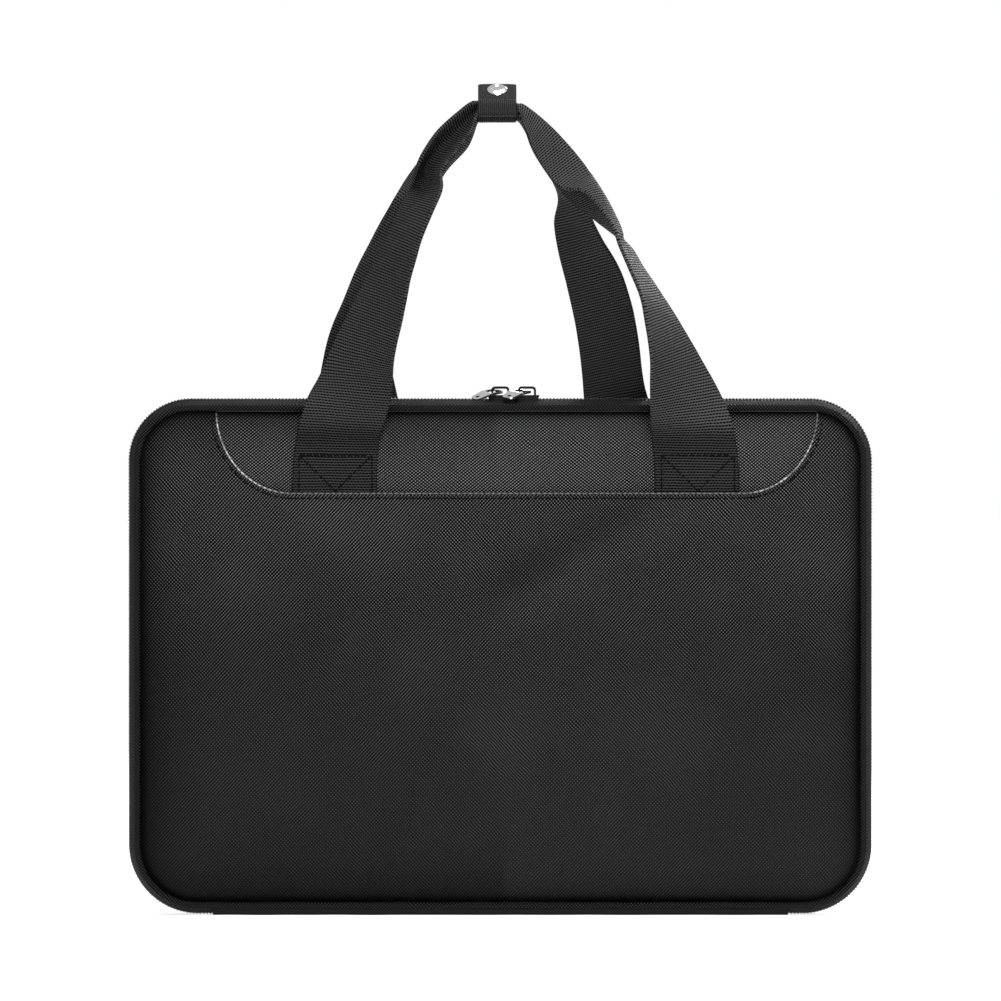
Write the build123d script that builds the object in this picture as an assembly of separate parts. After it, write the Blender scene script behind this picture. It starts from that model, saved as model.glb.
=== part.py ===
from build123d import *
import math
import os

# A zip-round portfolio case for A4 sheets, standing upright on its bottom gusset.
# Two padded covers are joined by a fabric hinge along the bottom and by a zip round the other three sides.
# X runs along the case, Y through its thickness with the front cover at -Y, and Z up from the base.
# "Depth" is the distance from the mid-plane of the zip, the same on the front and on the rear.

# Case outline, measured at the zip line
case_width = 341.0
case_height = 236.5
top_corner = 29.0
bottom_corner = 32.0

# Side walls: zip tape from the coil out to the piping seam
half_depth = 13.5
seam_inset = 4.8
chain_half_gap = 0.8
coil_width = 2.6
coil_thickness = 1.5
coil_on_tape = 0.1
tape_thickness = 0.8
zip_end_x = 130.0
zip_end_height = 20.0

# Piping
piping_diameter = 3.0
piping_cord_diameter = 2.0

# Layers of a cover, from the outside in
fit_gap = 0.1
skin_thickness = 1.0
cover_crown = 6.5
flank_run = 6.8
seam_rise = 0.3
board_thickness = 1.2
board_inset = 2.2
lining_thickness = 0.8
binding_width = 3.2
binding_thickness = 1.4

# Yoke slope: the face leans back above the pocket edge
pocket_edge_drop = 43.7
yoke_lip = 1.5

# Overlay panel with the scooped top edge
scoop_left = -129.7
scoop_right = 144.9
scoop_corner_x = 34.8
scoop_corner_z = 38.5
overlay_thickness = 1.0
overlay_foot = 2.6
hem_width = 1.2
hem_proud = 0.3

# Webbing handles
webbing_width = 38.0
webbing_thickness = 1.6
strap_tuck = 18.3
strap_fold_drop = 23.0
front_strap_x = (-75.0, 90.0)
rear_strap_x = (-66.0, 58.0)
fold_gap = 0.4
rim_swell = 2.5
rim_swell_drop = 12.5
swell_shift = 1.5
swell_twist = -3

# Keepers and snap at the top of the handles
keeper_left = -10.2
keeper_right = 7.4
keeper_rise = 128.5
keeper_height = 7.8
rear_keeper_drop = 3.0
keeper_overrun = 1.5
keeper_depth = 8.3
keeper_wall = 1.0
keeper_gap = 0.3
tab_length = 12.6
tab_lean = 54.0
tab_thickness = 1.0
snap_radius = 4.55
snap_from_root = 6.9
cap_height = 1.3
socket_height = 1.6
socket_bore = 1.8
stud_radius = 1.5
stud_height = 1.2
stud_base = 0.7
post_height = 0.8
shank_radius = 1.2

# Bottom gusset, which is also the hinge
gusset_flat = 9.5
gusset_thickness = 1.0
gusset_edge_gap = 0.5
gusset_seam_gap = 0.4
hinge_half_gap = 0.2

# Inside pieces
pocket_height = 120.0
pocket_side_gap = 12.0
inner_fabric = 0.7
elastic_width = 11.0
elastic_thickness = 0.9
corner_band_width = 20.0
corner_band_length = 92.0
corner_band_reach = 36.0
end_tab_length = 22.0
end_tab_width = 4.6
stop_length = 2.0

# Zip sliders
slider_length = 11.2
slider_shoulder = 9.6
slider_tail = 8.8
slider_plate = 0.9
slider_clearance = 0.25
slider_flange = 0.7
slider_post = 1.0
left_slider_x = 0.0
slider_spacing = 1.0
crown_length = 8.4
crown_height = 4.0
crown_bar = 1.1
crown_leg = 1.0
crown_width = 1.3
pull_length = 13.6
pull_width = 7.6
pull_tip_width = 5.6
pull_thickness = 1.0
pull_slot_length = 4.8
pull_slot_width = 5.8
pull_crank_at = 6.2
pull_crank = 12.0
pull_hole_radius = 1.0
pull_bar_from_centre = 1.3
pull_bar_gap = 0.45
# yaw to the front, pitch and roll of each pull at rest
left_pull_turn = (34, 11, -11)
right_pull_turn = (52, 9, -9)

# Worked out from the sizes above
pocket_edge_z = case_height - pocket_edge_drop
strap_end_low = pocket_edge_z - strap_tuck
strap_fold_z = case_height - strap_fold_drop
keeper_low = case_height + keeper_rise
keeper_high = keeper_low + keeper_height
coil_base_inset = coil_thickness + coil_on_tape
wall_slope = (seam_inset - coil_base_inset) / (half_depth - chain_half_gap)
wall_taper = math.degrees(math.atan(wall_slope))
piping_radius = piping_diameter / 2
tape_end_depth = half_depth - piping_radius - 0.05
seam_plane = half_depth - seam_rise
skin_inset = seam_inset + piping_radius + fit_gap
skin_rise = cover_crown + seam_rise
strap_rise = skin_rise + fit_gap
overlay_rise = strap_rise + webbing_thickness + fit_gap
board_depth = seam_plane - board_thickness
lining_depth = board_depth - lining_thickness
rim_depth = half_depth + piping_radius
gusset_outer_depth = half_depth - gusset_edge_gap
gusset_outer_rise = seam_inset - piping_radius - gusset_seam_gap
right_slider_x = left_slider_x + slider_length + slider_spacing


def outline(inset):
    """The case outline, set in all round, on the X-Z plane."""
    face = Pos(0, case_height / 2) * Rectangle(case_width - 2 * inset, case_height - 2 * inset)
    face = fillet(face.vertices().group_by(Axis.Y)[-1], top_corner - inset)
    return fillet(face.vertices().group_by(Axis.Y)[0], bottom_corner - inset)


def at_depth(face, depth):
    """An X-Z face moved to that depth on the front side."""
    return Plane.XZ.offset(depth) * face


def slab(face, low, high):
    """An X-Z face given thickness between two depths."""
    return extrude(at_depth(face, low), high - low)


def block(x_range, y_range, z_range):
    """A plain box between three pairs of limits."""
    sizes = [high - low for low, high in (x_range, y_range, z_range)]
    centres = [(low + high) / 2 for low, high in (x_range, y_range, z_range)]
    return Pos(*centres) * Box(*sizes)


def to_rear(shape):
    """A front piece reflected to the rear cover."""
    return mirror(shape, about=Plane.XZ)


def turned_to_rear(shape):
    """A front piece turned half a turn, as the same cut used on the rear cover."""
    return Rot(0, 0, 180) * shape


# Side walls

def wall(inset, thickness, low, high):
    """A ring that narrows towards the seam, as the zip tape does."""
    reach = (low - chain_half_gap) * wall_slope
    outer = extrude(at_depth(outline(inset + reach), low), high - low, taper=wall_taper)
    inner = extrude(at_depth(outline(inset + reach + thickness), low), high - low, taper=wall_taper)
    return outer - inner


def without_hinge_run(ring):
    """Cuts away the run along the bottom where the hinge gusset takes the place of the zip."""
    depth = 2 * half_depth
    return ring - block((-zip_end_x, zip_end_x), (-depth, depth), (-1, zip_end_height))


def zip_tape():
    return without_hinge_run(wall(coil_base_inset, tape_thickness, chain_half_gap, tape_end_depth))


def zip_coil():
    ring = outline(0) - outline(coil_thickness)
    return without_hinge_run(slab(ring, chain_half_gap, chain_half_gap + coil_width))


def piping_ring(radius):
    path = at_depth(outline(seam_inset), half_depth).face().outer_wire()
    start = path.position_at(0)
    section = Plane(origin=start, z_dir=path.tangent_at(0)) * Circle(radius)
    return sweep(section, path)


def piping():
    return piping_ring(piping_radius) - piping_cord()


def piping_cord():
    return piping_ring(piping_cord_diameter / 2)


def seam_binding():
    inset = coil_base_inset + tape_thickness + fit_gap
    return wall(inset, binding_thickness, lining_depth - binding_width, lining_depth - fit_gap)


def hinge_gusset():
    """Flat where the case stands, then rising to the piping."""
    outer = [(hinge_half_gap, 0), (gusset_flat, 0), (gusset_outer_depth, gusset_outer_rise)]
    slant = gusset_thickness * 0.7
    inner = [
        (gusset_outer_depth - slant, gusset_outer_rise + slant),
        (gusset_flat - gusset_thickness * 0.4, gusset_thickness),
        (hinge_half_gap, gusset_thickness),
    ]
    points = [(0, -depth, z) for depth, z in outer + inner]
    profile = make_face(Polyline(*points, close=True))
    length = zip_end_x - fit_gap
    return extrude(profile, length, dir=(1, 0, 0), both=True)


# Padded covers

def crowned(rise, inset=0.0):
    """The space from the seam plane up to the crowned face of a cover."""
    base = at_depth(outline(skin_inset + inset), seam_plane)
    bulk = extrude(base, rise, taper=math.degrees(math.atan(flank_run / rise)))
    top_z = case_height - skin_inset
    lip = yoke_lip + rise - skin_rise
    side = [(0, -1), (rise, -1), (rise, pocket_edge_z), (lip, top_z), (0, top_z + 1)]
    points = [(0, -(seam_plane + up), z) for up, z in side]
    profile = make_face(Polyline(*points, close=True))
    return bulk & extrude(profile, case_width / 2, dir=(1, 0, 0), both=True)


def cover_skin():
    return crowned(skin_rise) - crowned(skin_rise - skin_thickness, skin_thickness)


def cover_foam():
    return crowned(skin_rise - skin_thickness - fit_gap / 2, skin_thickness + fit_gap / 2)


def cover_board():
    return slab(outline(skin_inset + board_inset), board_depth, seam_plane)


def lining_outline(extra=0.0):
    """The lining reaches the tape's inner face."""
    reach = coil_base_inset + tape_thickness + (board_depth - chain_half_gap) * wall_slope
    return outline(reach + 4 * fit_gap + extra)


def cover_lining():
    return slab(lining_outline(), lining_depth, board_depth)


def yoke_area(shrink=0.0):
    """The area that the scooped overlay leaves open: straight below, with quarter-ellipse ends."""
    left = scoop_left + shrink
    right = scoop_right - shrink
    low = pocket_edge_z + shrink
    corner_x = scoop_corner_x - shrink
    corner_z = scoop_corner_z - shrink
    high = low + 2 * corner_z
    middle = Rectangle(right - left - 2 * corner_x, high - low)
    area = Pos((left + right) / 2, (low + high) / 2) * middle
    for x in (left + corner_x, right - corner_x):
        area += Pos(x, low + corner_z) * Ellipse(corner_x, corner_z)
    return area


def overlay_panel():
    shell = crowned(overlay_rise + overlay_thickness) - crowned(overlay_rise, overlay_thickness / 2)
    area = outline(0) - yoke_area()
    return shell & slab(area, seam_plane + overlay_foot, seam_plane + 3 * overlay_rise)


def overlay_hem():
    high = overlay_rise + overlay_thickness + hem_proud
    shell = crowned(high) - crowned(overlay_rise, overlay_thickness / 2)
    area = yoke_area() - yoke_area(hem_width)
    return shell & slab(area, seam_plane + overlay_foot, seam_plane + 3 * overlay_rise)


def strap_end(x):
    """The stitched end of a handle, which follows the cover and runs under the overlay."""
    layer = crowned(strap_rise + webbing_thickness) - crowned(strap_rise)
    sides = (x - webbing_width / 2, x + webbing_width / 2)
    return layer & block(sides, (-4 * half_depth, 0), (strap_end_low, strap_fold_z - fold_gap))


# Handles

def depth_on_yoke(rise, z):
    """Depth of a layer above the pocket edge, where the cover leans back."""
    top_z = case_height - skin_inset
    share = (z - pocket_edge_z) / (top_z - pocket_edge_z)
    return seam_plane + rise - share * (skin_rise - yoke_lip)


strap_root_depth = depth_on_yoke(strap_rise + webbing_thickness / 2, strap_fold_z)
strap_fold_depth = depth_on_yoke(strap_rise + webbing_thickness, strap_fold_z) + fit_gap
keeper_core = keeper_depth - 2 * keeper_wall - 2 * fit_gap
keeper_tall = keeper_high - keeper_low - 2 * keeper_wall - 2 * fit_gap
grip_z = (keeper_low + keeper_high) / 2
grip_depth = keeper_gap + keeper_depth / 2


def handle(stations):
    """A webbing loop through its stations: x, depth, z, width, thickness and twist about its own run."""
    points = [Vector(x, -depth, z) for x, depth, z, _, _, _ in stations]
    sections = []
    for i, (_, _, _, width, thickness, twist) in enumerate(stations):
        if i == 0:
            run = Vector(0, 0, 1)
        elif i == len(stations) - 1:
            run = Vector(0, 0, -1)
        else:
            run = (points[i + 1] - points[i - 1]).normalized()
        across = run.cross(Vector(0, 1, 0)).normalized()
        plane = Plane(origin=points[i], x_dir=across, z_dir=run).rotated((0, 0, twist))
        sections.append(plane * Rectangle(width, thickness))
    return loft(sections, ruled=True)


def whole_handle(strap_x, grip_drop, left_leg, right_leg):
    """A handle from end to end. A leg's stations give x, how far they stand out past the rim (or back of
    it, if negative), height above the case, width, thickness and twist."""
    left, right = strap_x
    start = strap_fold_z + fold_gap
    clear = strap_root_depth + rim_swell
    lift = case_height - rim_swell_drop
    grip = (grip_depth, grip_z - grip_drop, keeper_tall, keeper_core, 0)
    legs = [
        [(x, rim_depth + out, case_height + rise, width, thickness, twist)
         for x, out, rise, width, thickness, twist in leg]
        for leg in (left_leg, right_leg)
    ]
    return handle([
        (left, strap_root_depth, start, webbing_width, webbing_thickness, 0),
        (left + swell_shift, clear, lift, webbing_width, webbing_thickness, swell_twist),
        *legs[0],
        (keeper_left - keeper_overrun, *grip),
        (keeper_right + keeper_overrun, *grip),
        *legs[1],
        (right - swell_shift, clear, lift, webbing_width, webbing_thickness, swell_twist),
        (right, strap_root_depth, start, webbing_width, webbing_thickness, 0),
    ])


def front_handle():
    full = webbing_width
    thin = webbing_thickness
    left_leg = [
        (-67.5, 7.0, 3.5, full, thin, -16),
        (-60.7, 5.5, 26.5, full, thin, -40),
        (-47.7, 1.0, 63.0, full - 8, 3.0, -56),
        (-31.5, -4.0, 97.5, full - 18, 5.0, -50),
        (-18.5, -9.0, 120.5, full - 27, keeper_core, -20),
    ]
    right_leg = [
        (20.0, -9.0, 119.5, full - 27, keeper_core, -20),
        (33.5, -3.5, 98.0, full - 18, 5.0, -45),
        (52.0, 1.0, 70.5, full - 12, 3.4, -58),
        (66.0, 4.5, 38.5, full - 2, thin, -46),
        (81.0, 7.0, 5.5, full, thin, -18),
    ]
    return whole_handle(front_strap_x, 0, left_leg, right_leg)


def rear_handle():
    full = webbing_width
    thin = webbing_thickness
    left_leg = [
        (-67.0, 7.0, 4.5, full, thin, -18),
        (-61.5, 5.0, 33.5, full, thin, -42),
        (-49.0, 0.5, 64.5, full - 8, 3.0, -52),
        (-33.5, -4.0, 97.5, full - 18, 5.0, -45),
        (-18.5, -9.0, 118.5, full - 27, keeper_core, -20),
    ]
    right_leg = [
        (20.0, -9.0, 114.5, full - 27, keeper_core, -20),
        (32.0, -4.0, 91.5, full - 18, 5.0, -40),
        (40.5, 0.5, 64.5, full - 8, 3.0, -42),
        (47.0, 4.5, 33.5, full - 2, thin, -40),
        (53.5, 7.0, 4.5, full, thin, -24),
    ]
    return to_rear(whole_handle(rear_strap_x, rear_keeper_drop, left_leg, right_leg))


# Keepers and snap

lean = math.radians(tab_lean)
tab_frame = Plane(
    origin=((keeper_left + keeper_right) / 2, -(keeper_gap + 0.5), keeper_high - 0.1),
    x_dir=(1, 0, 0),
    z_dir=(0, -math.cos(lean), math.sin(lean)),
)
tab_width = keeper_right - keeper_left
rear_tab_drop = socket_height + stud_base + keeper_gap
hole_radius = shank_radius + fit_gap


def on_tab(shape, along=0.0, out=0.0):
    """Places a shape in the frame of the snap tab, along it and out from its underside."""
    return tab_frame * Pos(0, along, out) * shape


def keeper_band(drop=0.0):
    low = keeper_low - drop
    high = keeper_high - drop
    far = -keeper_gap - keeper_depth
    outer = block((keeper_left, keeper_right), (far, -keeper_gap), (low, high))
    inner = block(
        (keeper_left - 1, keeper_right + 1),
        (far + keeper_wall, -keeper_gap - keeper_wall),
        (low + keeper_wall, high - keeper_wall),
    )
    return outer, inner


def tab(low, out):
    plate = Box(tab_width, tab_length - low, tab_thickness)
    return on_tab(plate, (tab_length + low) / 2, out + tab_thickness / 2)


def front_keeper():
    outer, inner = keeper_band()
    hole = on_tab(Cylinder(hole_radius, 4 * tab_thickness), snap_from_root, tab_thickness / 2)
    return outer + tab(0, 0) - inner - hole


def rear_keeper():
    outer, inner = (to_rear(part) for part in keeper_band(rear_keeper_drop))
    hole = on_tab(Cylinder(hole_radius, 3 * tab_thickness), snap_from_root, -rear_tab_drop)
    low = -0.2 * rear_keeper_drop
    return outer + tab(low, -rear_tab_drop - tab_thickness) - inner - hole


def ring_section(points):
    """A turned piece from its half section of radius and height points."""
    profile = make_face(Polyline(*[(r, 0, h) for r, h in points], close=True))
    return revolve(profile, Axis.Z)


def snap_cap():
    rim = snap_radius
    points = [
        (0, -tab_thickness), (shank_radius, -tab_thickness), (shank_radius, 0.05), (rim, 0.05),
        (rim, 0.55), (rim - 0.5, 0.95), (rim * 0.55, cap_height), (rim * 0.45, cap_height - 0.35),
        (0, cap_height - 0.35),
    ]
    return on_tab(ring_section(points), snap_from_root, tab_thickness)


def snap_socket():
    rim = snap_radius - 0.5
    points = [
        (socket_bore, -socket_height), (rim - 0.6, -socket_height), (rim - 0.6, -0.5), (rim, -0.4),
        (rim, -0.05), (socket_bore, -0.05),
    ]
    return on_tab(ring_section(points), snap_from_root)


def snap_stud():
    rim = snap_radius - 0.5
    top = stud_base + stud_height
    points = [
        (0, 0.05), (rim, 0.05), (rim, stud_base - 0.2), (stud_radius, stud_base - 0.05),
        (stud_radius - 0.15, stud_base + 0.4), (stud_radius, top - 0.3), (stud_radius - 0.5, top), (0, top),
    ]
    return on_tab(ring_section(points), snap_from_root, -rear_tab_drop)


def snap_post():
    rim = snap_radius - 0.5
    points = [
        (0, tab_thickness), (shank_radius, tab_thickness), (shank_radius, -0.05), (rim, -0.05),
        (rim - 0.3, -post_height), (0, -post_height),
    ]
    return on_tab(ring_section(points), snap_from_root, -rear_tab_drop - tab_thickness)


# Pieces inside the case

def inner_pocket():
    """A flat document pocket on the front cover's lining."""
    low = seam_inset + 8
    half = case_width / 2 - seam_inset - pocket_side_gap
    face = Pos(0, low + pocket_height / 2) * RectangleRounded(2 * half, pocket_height, 18)
    return slab(face, lining_depth - fit_gap - inner_fabric, lining_depth - fit_gap)


def inner_pocket_elastic():
    """The elastic that binds the pocket's mouth."""
    half = case_width / 2 - seam_inset - pocket_side_gap - 18
    mouth_z = seam_inset + 8 + pocket_height - elastic_width / 2
    face = Pos(0, mouth_z) * Rectangle(2 * half, elastic_width)
    outer = lining_depth - fit_gap - inner_fabric - 0.05
    return slab(face, outer - elastic_thickness, outer)


def corner_elastics():
    """Four bands across the rear cover's corners, which hold a pad or a board."""
    bands = []
    outer = lining_depth - fit_gap
    for side in (-1, 1):
        for up in (-1, 1):
            x = side * (case_width / 2 - seam_inset - corner_band_reach)
            z = case_height / 2 + up * (case_height / 2 - seam_inset - corner_band_reach)
            strip = Rot(0, 0, -45 * side * up) * Rectangle(corner_band_length, corner_band_width)
            face = Pos(x, z) * strip & lining_outline(binding_thickness + 1)
            bands.append(to_rear(slab(face, outer - elastic_thickness, outer)))
    return Compound(children=bands)


def zip_end_tabs():
    """Fabric tabs that cover the ends of the zip, inside the rear cover."""
    low = coil_base_inset + tape_thickness + fit_gap + wall_slope * end_tab_width
    height = (low + 0.2, low + 1.0)
    depth = (hinge_half_gap + 0.2, end_tab_width)
    start = zip_end_x - end_tab_length / 2
    end = zip_end_x
    return Compound(children=[block((-end, -start), depth, height), block((start, end), depth, height)])


def zip_stops():
    """A stop at each end of the coil."""
    high = zip_end_x - 4 * fit_gap
    low = high - stop_length
    depth = (chain_half_gap, chain_half_gap + coil_width)
    height = (gusset_thickness + 0.05, gusset_thickness + coil_thickness)
    return Compound(children=[block((-high, -low), depth, height), block((low, high), depth, height)])


# Zip sliders

plate_low = case_height + slider_clearance
plate_high = plate_low + slider_plate
tape_under = case_height - coil_base_inset - tape_thickness - wall_slope * slider_shoulder / 2
under_high = tape_under - slider_clearance
under_low = under_high - slider_plate


def slider_plan(length, shoulder, tail):
    """A slider's plan: wide at the shoulder, narrower at the tail, both ends rounded a little."""
    half = length / 2
    points = [(-half, -tail / 2), (half, -shoulder / 2), (half, shoulder / 2), (-half, tail / 2)]
    face = make_face(Polyline(*points, close=True))
    return fillet(face.vertices(), 1.6)


def slider_body(x, nose):
    """Top and bottom plates joined by the post, with flanges that hold the coils. Nose is the shoulder's side."""
    plan = slider_plan(slider_length, slider_shoulder, slider_tail)
    core = slider_plan(slider_length + 2, slider_shoulder - 2 * slider_flange, slider_tail - 2 * slider_flange)
    flange_low = case_height - coil_thickness - 0.1
    body = Pos(0, 0, flange_low) * extrude(plan, plate_high - flange_low)
    body -= Pos(0, 0, flange_low - 1) * extrude(core, plate_low - flange_low + 1)
    body += Pos(0, 0, under_low) * extrude(plan, slider_plate)
    post_x = (slider_length / 2 - 3.2, slider_length / 2 - 0.6)
    body += block(post_x, (-slider_post / 2, slider_post / 2), (under_high - 0.1, plate_low + 0.1))
    return Pos(x, 0, 0) * (body if nose > 0 else Rot(0, 0, 180) * body)


def slider_crown(x):
    """The bridge that the pull hooks under."""
    outer_high = plate_high + crown_height
    half = crown_length / 2
    outer = Pos(0, (plate_high + outer_high) / 2) * Rectangle(crown_length, crown_height)
    outer = fillet(outer.vertices().group_by(Axis.Y)[-1], 1.8)
    inner = Pos(0, (plate_high + outer_high - crown_bar) / 2) * Rectangle(
        2 * (half - crown_leg), crown_height - crown_bar
    )
    inner = fillet(inner.vertices().group_by(Axis.Y)[-1], 0.9)
    arch = extrude(Plane.XZ * (outer - inner), crown_width / 2, both=True)
    return Pos(x, 0, 0.02) * arch


def pull_shape():
    """A cranked pull: the bar that sits under the crown, two rails, and the finger tab."""
    half = pull_width / 2
    tip = pull_tip_width / 2
    slot_low = 0.5
    slot_high = slot_low + pull_slot_length
    head = Pos(pull_crank_at / 2 - 0.25, 0) * Rectangle(pull_crank_at + 0.5, pull_width)
    head = fillet(head.vertices().group_by(Axis.X)[0], 0.4)
    slot = Pos((slot_low + slot_high) / 2, 0) * Rectangle(pull_slot_length, pull_slot_width)
    head -= fillet(slot.vertices(), 0.6)
    reach = pull_length - pull_crank_at
    points = [(-0.05, -half), (reach, -tip), (reach, tip), (-0.05, half)]
    tab_face = make_face(Polyline(*points, close=True))
    tab_face = fillet(tab_face.vertices().group_by(Axis.X)[-1], 2.2)
    tab_face -= Pos(reach - 2.4, 0) * Circle(pull_hole_radius)
    flat = extrude(head, pull_thickness / 2, both=True)
    tail = Pos(pull_crank_at, 0, 0) * Rot(0, pull_crank, 0) * extrude(tab_face, pull_thickness / 2, both=True)
    return flat + tail


def pull_frame(slider_x, yaw, pitch, roll):
    """Where a pull rests: hooked under the crown, pointing along -X, swung to the front and tipped."""
    bar_z = plate_high + crown_height - crown_bar - pull_thickness / 2 - pull_bar_gap
    bar = Location((slider_x - pull_bar_from_centre, 0, bar_z))
    return bar * Location((0, 0, 0), (0, 0, 180 + yaw)) * Location((0, 0, 0), (0, pitch, 0)) * Location(
        (0, 0, 0), (roll, 0, 0)
    )


left_pull_rest = pull_frame(left_slider_x, *left_pull_turn)
right_pull_rest = pull_frame(right_slider_x, *right_pull_turn)


def build_parts():
    """Every sub-part, by the name of its node."""
    tape = zip_tape()
    coil = zip_coil()
    gusset = hinge_gusset()
    skin = cover_skin()
    foam = cover_foam()
    board = cover_board()
    lining = cover_lining()
    binding = seam_binding()
    cover = piping()
    cord = piping_cord()
    overlay = overlay_panel()
    hem = overlay_hem()
    parts = {
        "front_panel": skin,
        "front_foam": foam,
        "front_board": board,
        "front_lining": lining,
        "front_seam_binding": binding,
        "front_piping": cover,
        "front_piping_cord": cord,
        "front_zip_tape": tape,
        "front_zip_coil": coil,
        "front_hinge_gusset": gusset,
        "front_pocket_panel": overlay,
        "front_pocket_hem": hem,
        "front_handle_webbing": front_handle(),
        "rear_handle_webbing": rear_handle(),
        "front_keeper": front_keeper(),
        "rear_keeper": rear_keeper(),
        "snap_cap": snap_cap(),
        "snap_socket": snap_socket(),
        "snap_stud": snap_stud(),
        "snap_post": snap_post(),
        "inner_pocket": inner_pocket(),
        "inner_pocket_elastic": inner_pocket_elastic(),
        "corner_elastics": corner_elastics(),
        "zip_end_tabs": zip_end_tabs(),
        "zip_stops": zip_stops(),
        "left_slider_body": slider_body(left_slider_x, 1),
        "left_slider_crown": slider_crown(left_slider_x),
        "left_pull": left_pull_rest * pull_shape(),
        "right_slider_body": slider_body(right_slider_x, -1),
        "right_slider_crown": slider_crown(right_slider_x),
        "right_pull": right_pull_rest * pull_shape(),
    }
    for name in ("panel", "foam", "board", "lining", "seam_binding", "piping", "piping_cord", "zip_tape",
                 "zip_coil", "hinge_gusset"):
        parts["rear_" + name] = to_rear(parts["front_" + name])
    parts["rear_overlay_panel"] = turned_to_rear(overlay)
    parts["rear_overlay_hem"] = turned_to_rear(hem)
    for side, front_x, rear_x in zip(("left", "right"), front_strap_x, rear_strap_x):
        parts["front_strap_end_" + side] = strap_end(front_x)
        parts["rear_strap_end_" + side] = to_rear(strap_end(rear_x))
    return parts


os.makedirs("parts", exist_ok=True)
for name, shape in build_parts().items():
    export_step(shape, os.path.join("parts", name + ".step"))
print("handle fold axis: depth", round(strap_fold_depth, 3), "height", strap_fold_z)
for name, rest in (("left_pull", left_pull_rest), ("right_pull", right_pull_rest)):
    axis = -Plane(rest).y_dir
    print(name, "bar at", tuple(rest.position), "along", tuple(axis))
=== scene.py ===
import bmesh
import bpy
import math
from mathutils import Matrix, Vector, noise


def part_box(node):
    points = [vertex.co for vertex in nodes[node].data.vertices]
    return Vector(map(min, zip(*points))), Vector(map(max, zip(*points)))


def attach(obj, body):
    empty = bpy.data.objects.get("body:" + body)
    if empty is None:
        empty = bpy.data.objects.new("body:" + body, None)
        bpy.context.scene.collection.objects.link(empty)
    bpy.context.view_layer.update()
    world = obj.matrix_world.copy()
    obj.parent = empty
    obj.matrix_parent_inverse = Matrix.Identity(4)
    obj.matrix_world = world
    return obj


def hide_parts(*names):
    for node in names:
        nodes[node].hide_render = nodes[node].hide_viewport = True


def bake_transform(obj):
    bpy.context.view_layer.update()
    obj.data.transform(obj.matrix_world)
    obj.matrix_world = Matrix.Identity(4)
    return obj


# A zip-round portfolio case in black woven nylon, with two webbing handles snapped together at the top.
# Everything is in metres: X along the case, -Y towards the front, Z up from the base.

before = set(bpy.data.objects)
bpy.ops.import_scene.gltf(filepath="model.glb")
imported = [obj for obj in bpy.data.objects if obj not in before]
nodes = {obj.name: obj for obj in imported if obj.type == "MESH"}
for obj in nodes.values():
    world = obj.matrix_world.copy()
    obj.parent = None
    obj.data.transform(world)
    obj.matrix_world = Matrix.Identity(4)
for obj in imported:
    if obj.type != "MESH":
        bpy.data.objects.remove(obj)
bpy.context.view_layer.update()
mm = 0.001
scene = bpy.context.scene
print("frame loaded:", len(nodes), "nodes")


# sizes read from the frame
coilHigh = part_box("rear_zip_coil")[1]
pipingLow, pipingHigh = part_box("rear_piping")
panelLow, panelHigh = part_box("rear_panel")
hemLow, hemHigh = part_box("front_pocket_hem")
gussetLow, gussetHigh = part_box("rear_hinge_gusset")
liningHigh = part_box("rear_lining")[1]
frontStrapBoxes = [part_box("front_strap_end_left"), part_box("front_strap_end_right")]
rearStrapBoxes = [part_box("rear_strap_end_left"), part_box("rear_strap_end_right")]
keeperLow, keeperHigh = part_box("front_keeper")

rim = {
    "halfWidth": coilHigh.x,
    "height": coilHigh.z,
    "topCorner": 29 * mm,
    "bottomCorner": 32 * mm,
}
pipingRadius = (pipingHigh.y - pipingLow.y) / 2
seamDepth = (pipingHigh.y + pipingLow.y) / 2
seamInset = rim["halfWidth"] - pipingHigh.x + pipingRadius
panelInset = rim["halfWidth"] - panelHigh.x
panelBack = panelLow.y
panelRise = panelHigh.y - panelLow.y


# mesh helpers
def newObject(name, vertices, faces, material, uvs=None):
    mesh = bpy.data.meshes.new(name)
    mesh.from_pydata([tuple(v) for v in vertices], [], faces)
    if uvs:
        layer = mesh.uv_layers.new(name="UVMap")
        for loop in mesh.loops:
            layer.data[loop.index].uv = uvs[loop.vertex_index]
    work = bmesh.new()
    work.from_mesh(mesh)
    bmesh.ops.recalc_face_normals(work, faces=work.faces)
    work.to_mesh(mesh)
    work.free()
    mesh.polygons.foreach_set("use_smooth", [True] * len(mesh.polygons))
    mesh.materials.append(material)
    piece = bpy.data.objects.new(name, mesh)
    scene.collection.objects.link(piece)
    return piece


def bake(piece):
    # the finished shape as a plain mesh, with no modifier left
    graph = bpy.context.evaluated_depsgraph_get()
    graph.update()
    mesh = bpy.data.meshes.new_from_object(piece.evaluated_get(graph))
    piece.modifiers.clear()
    piece.data = mesh
    return piece


def smoothByAngle(piece, degrees):
    piece.data.polygons.foreach_set("use_smooth", [True] * len(piece.data.polygons))
    piece.data.set_sharp_from_angle(angle=math.radians(degrees))


def joinPieces(name, pieces):
    # several meshes as one object, keeping their materials and UVs
    work = bmesh.new()
    materials = []
    for piece in pieces:
        start = len(work.faces)
        work.from_mesh(piece.data)
        work.faces.ensure_lookup_table()
        slots = []
        for material in piece.data.materials:
            if material not in materials:
                materials.append(material)
            slots.append(materials.index(material))
        for face in work.faces[start:]:
            face.material_index = slots[face.material_index]
    mesh = bpy.data.meshes.new(name)
    work.to_mesh(mesh)
    work.free()
    for material in materials:
        mesh.materials.append(material)
    joined = bpy.data.objects.new(name, mesh)
    scene.collection.objects.link(joined)
    for piece in pieces:
        bpy.data.objects.remove(piece)
    return joined


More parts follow.
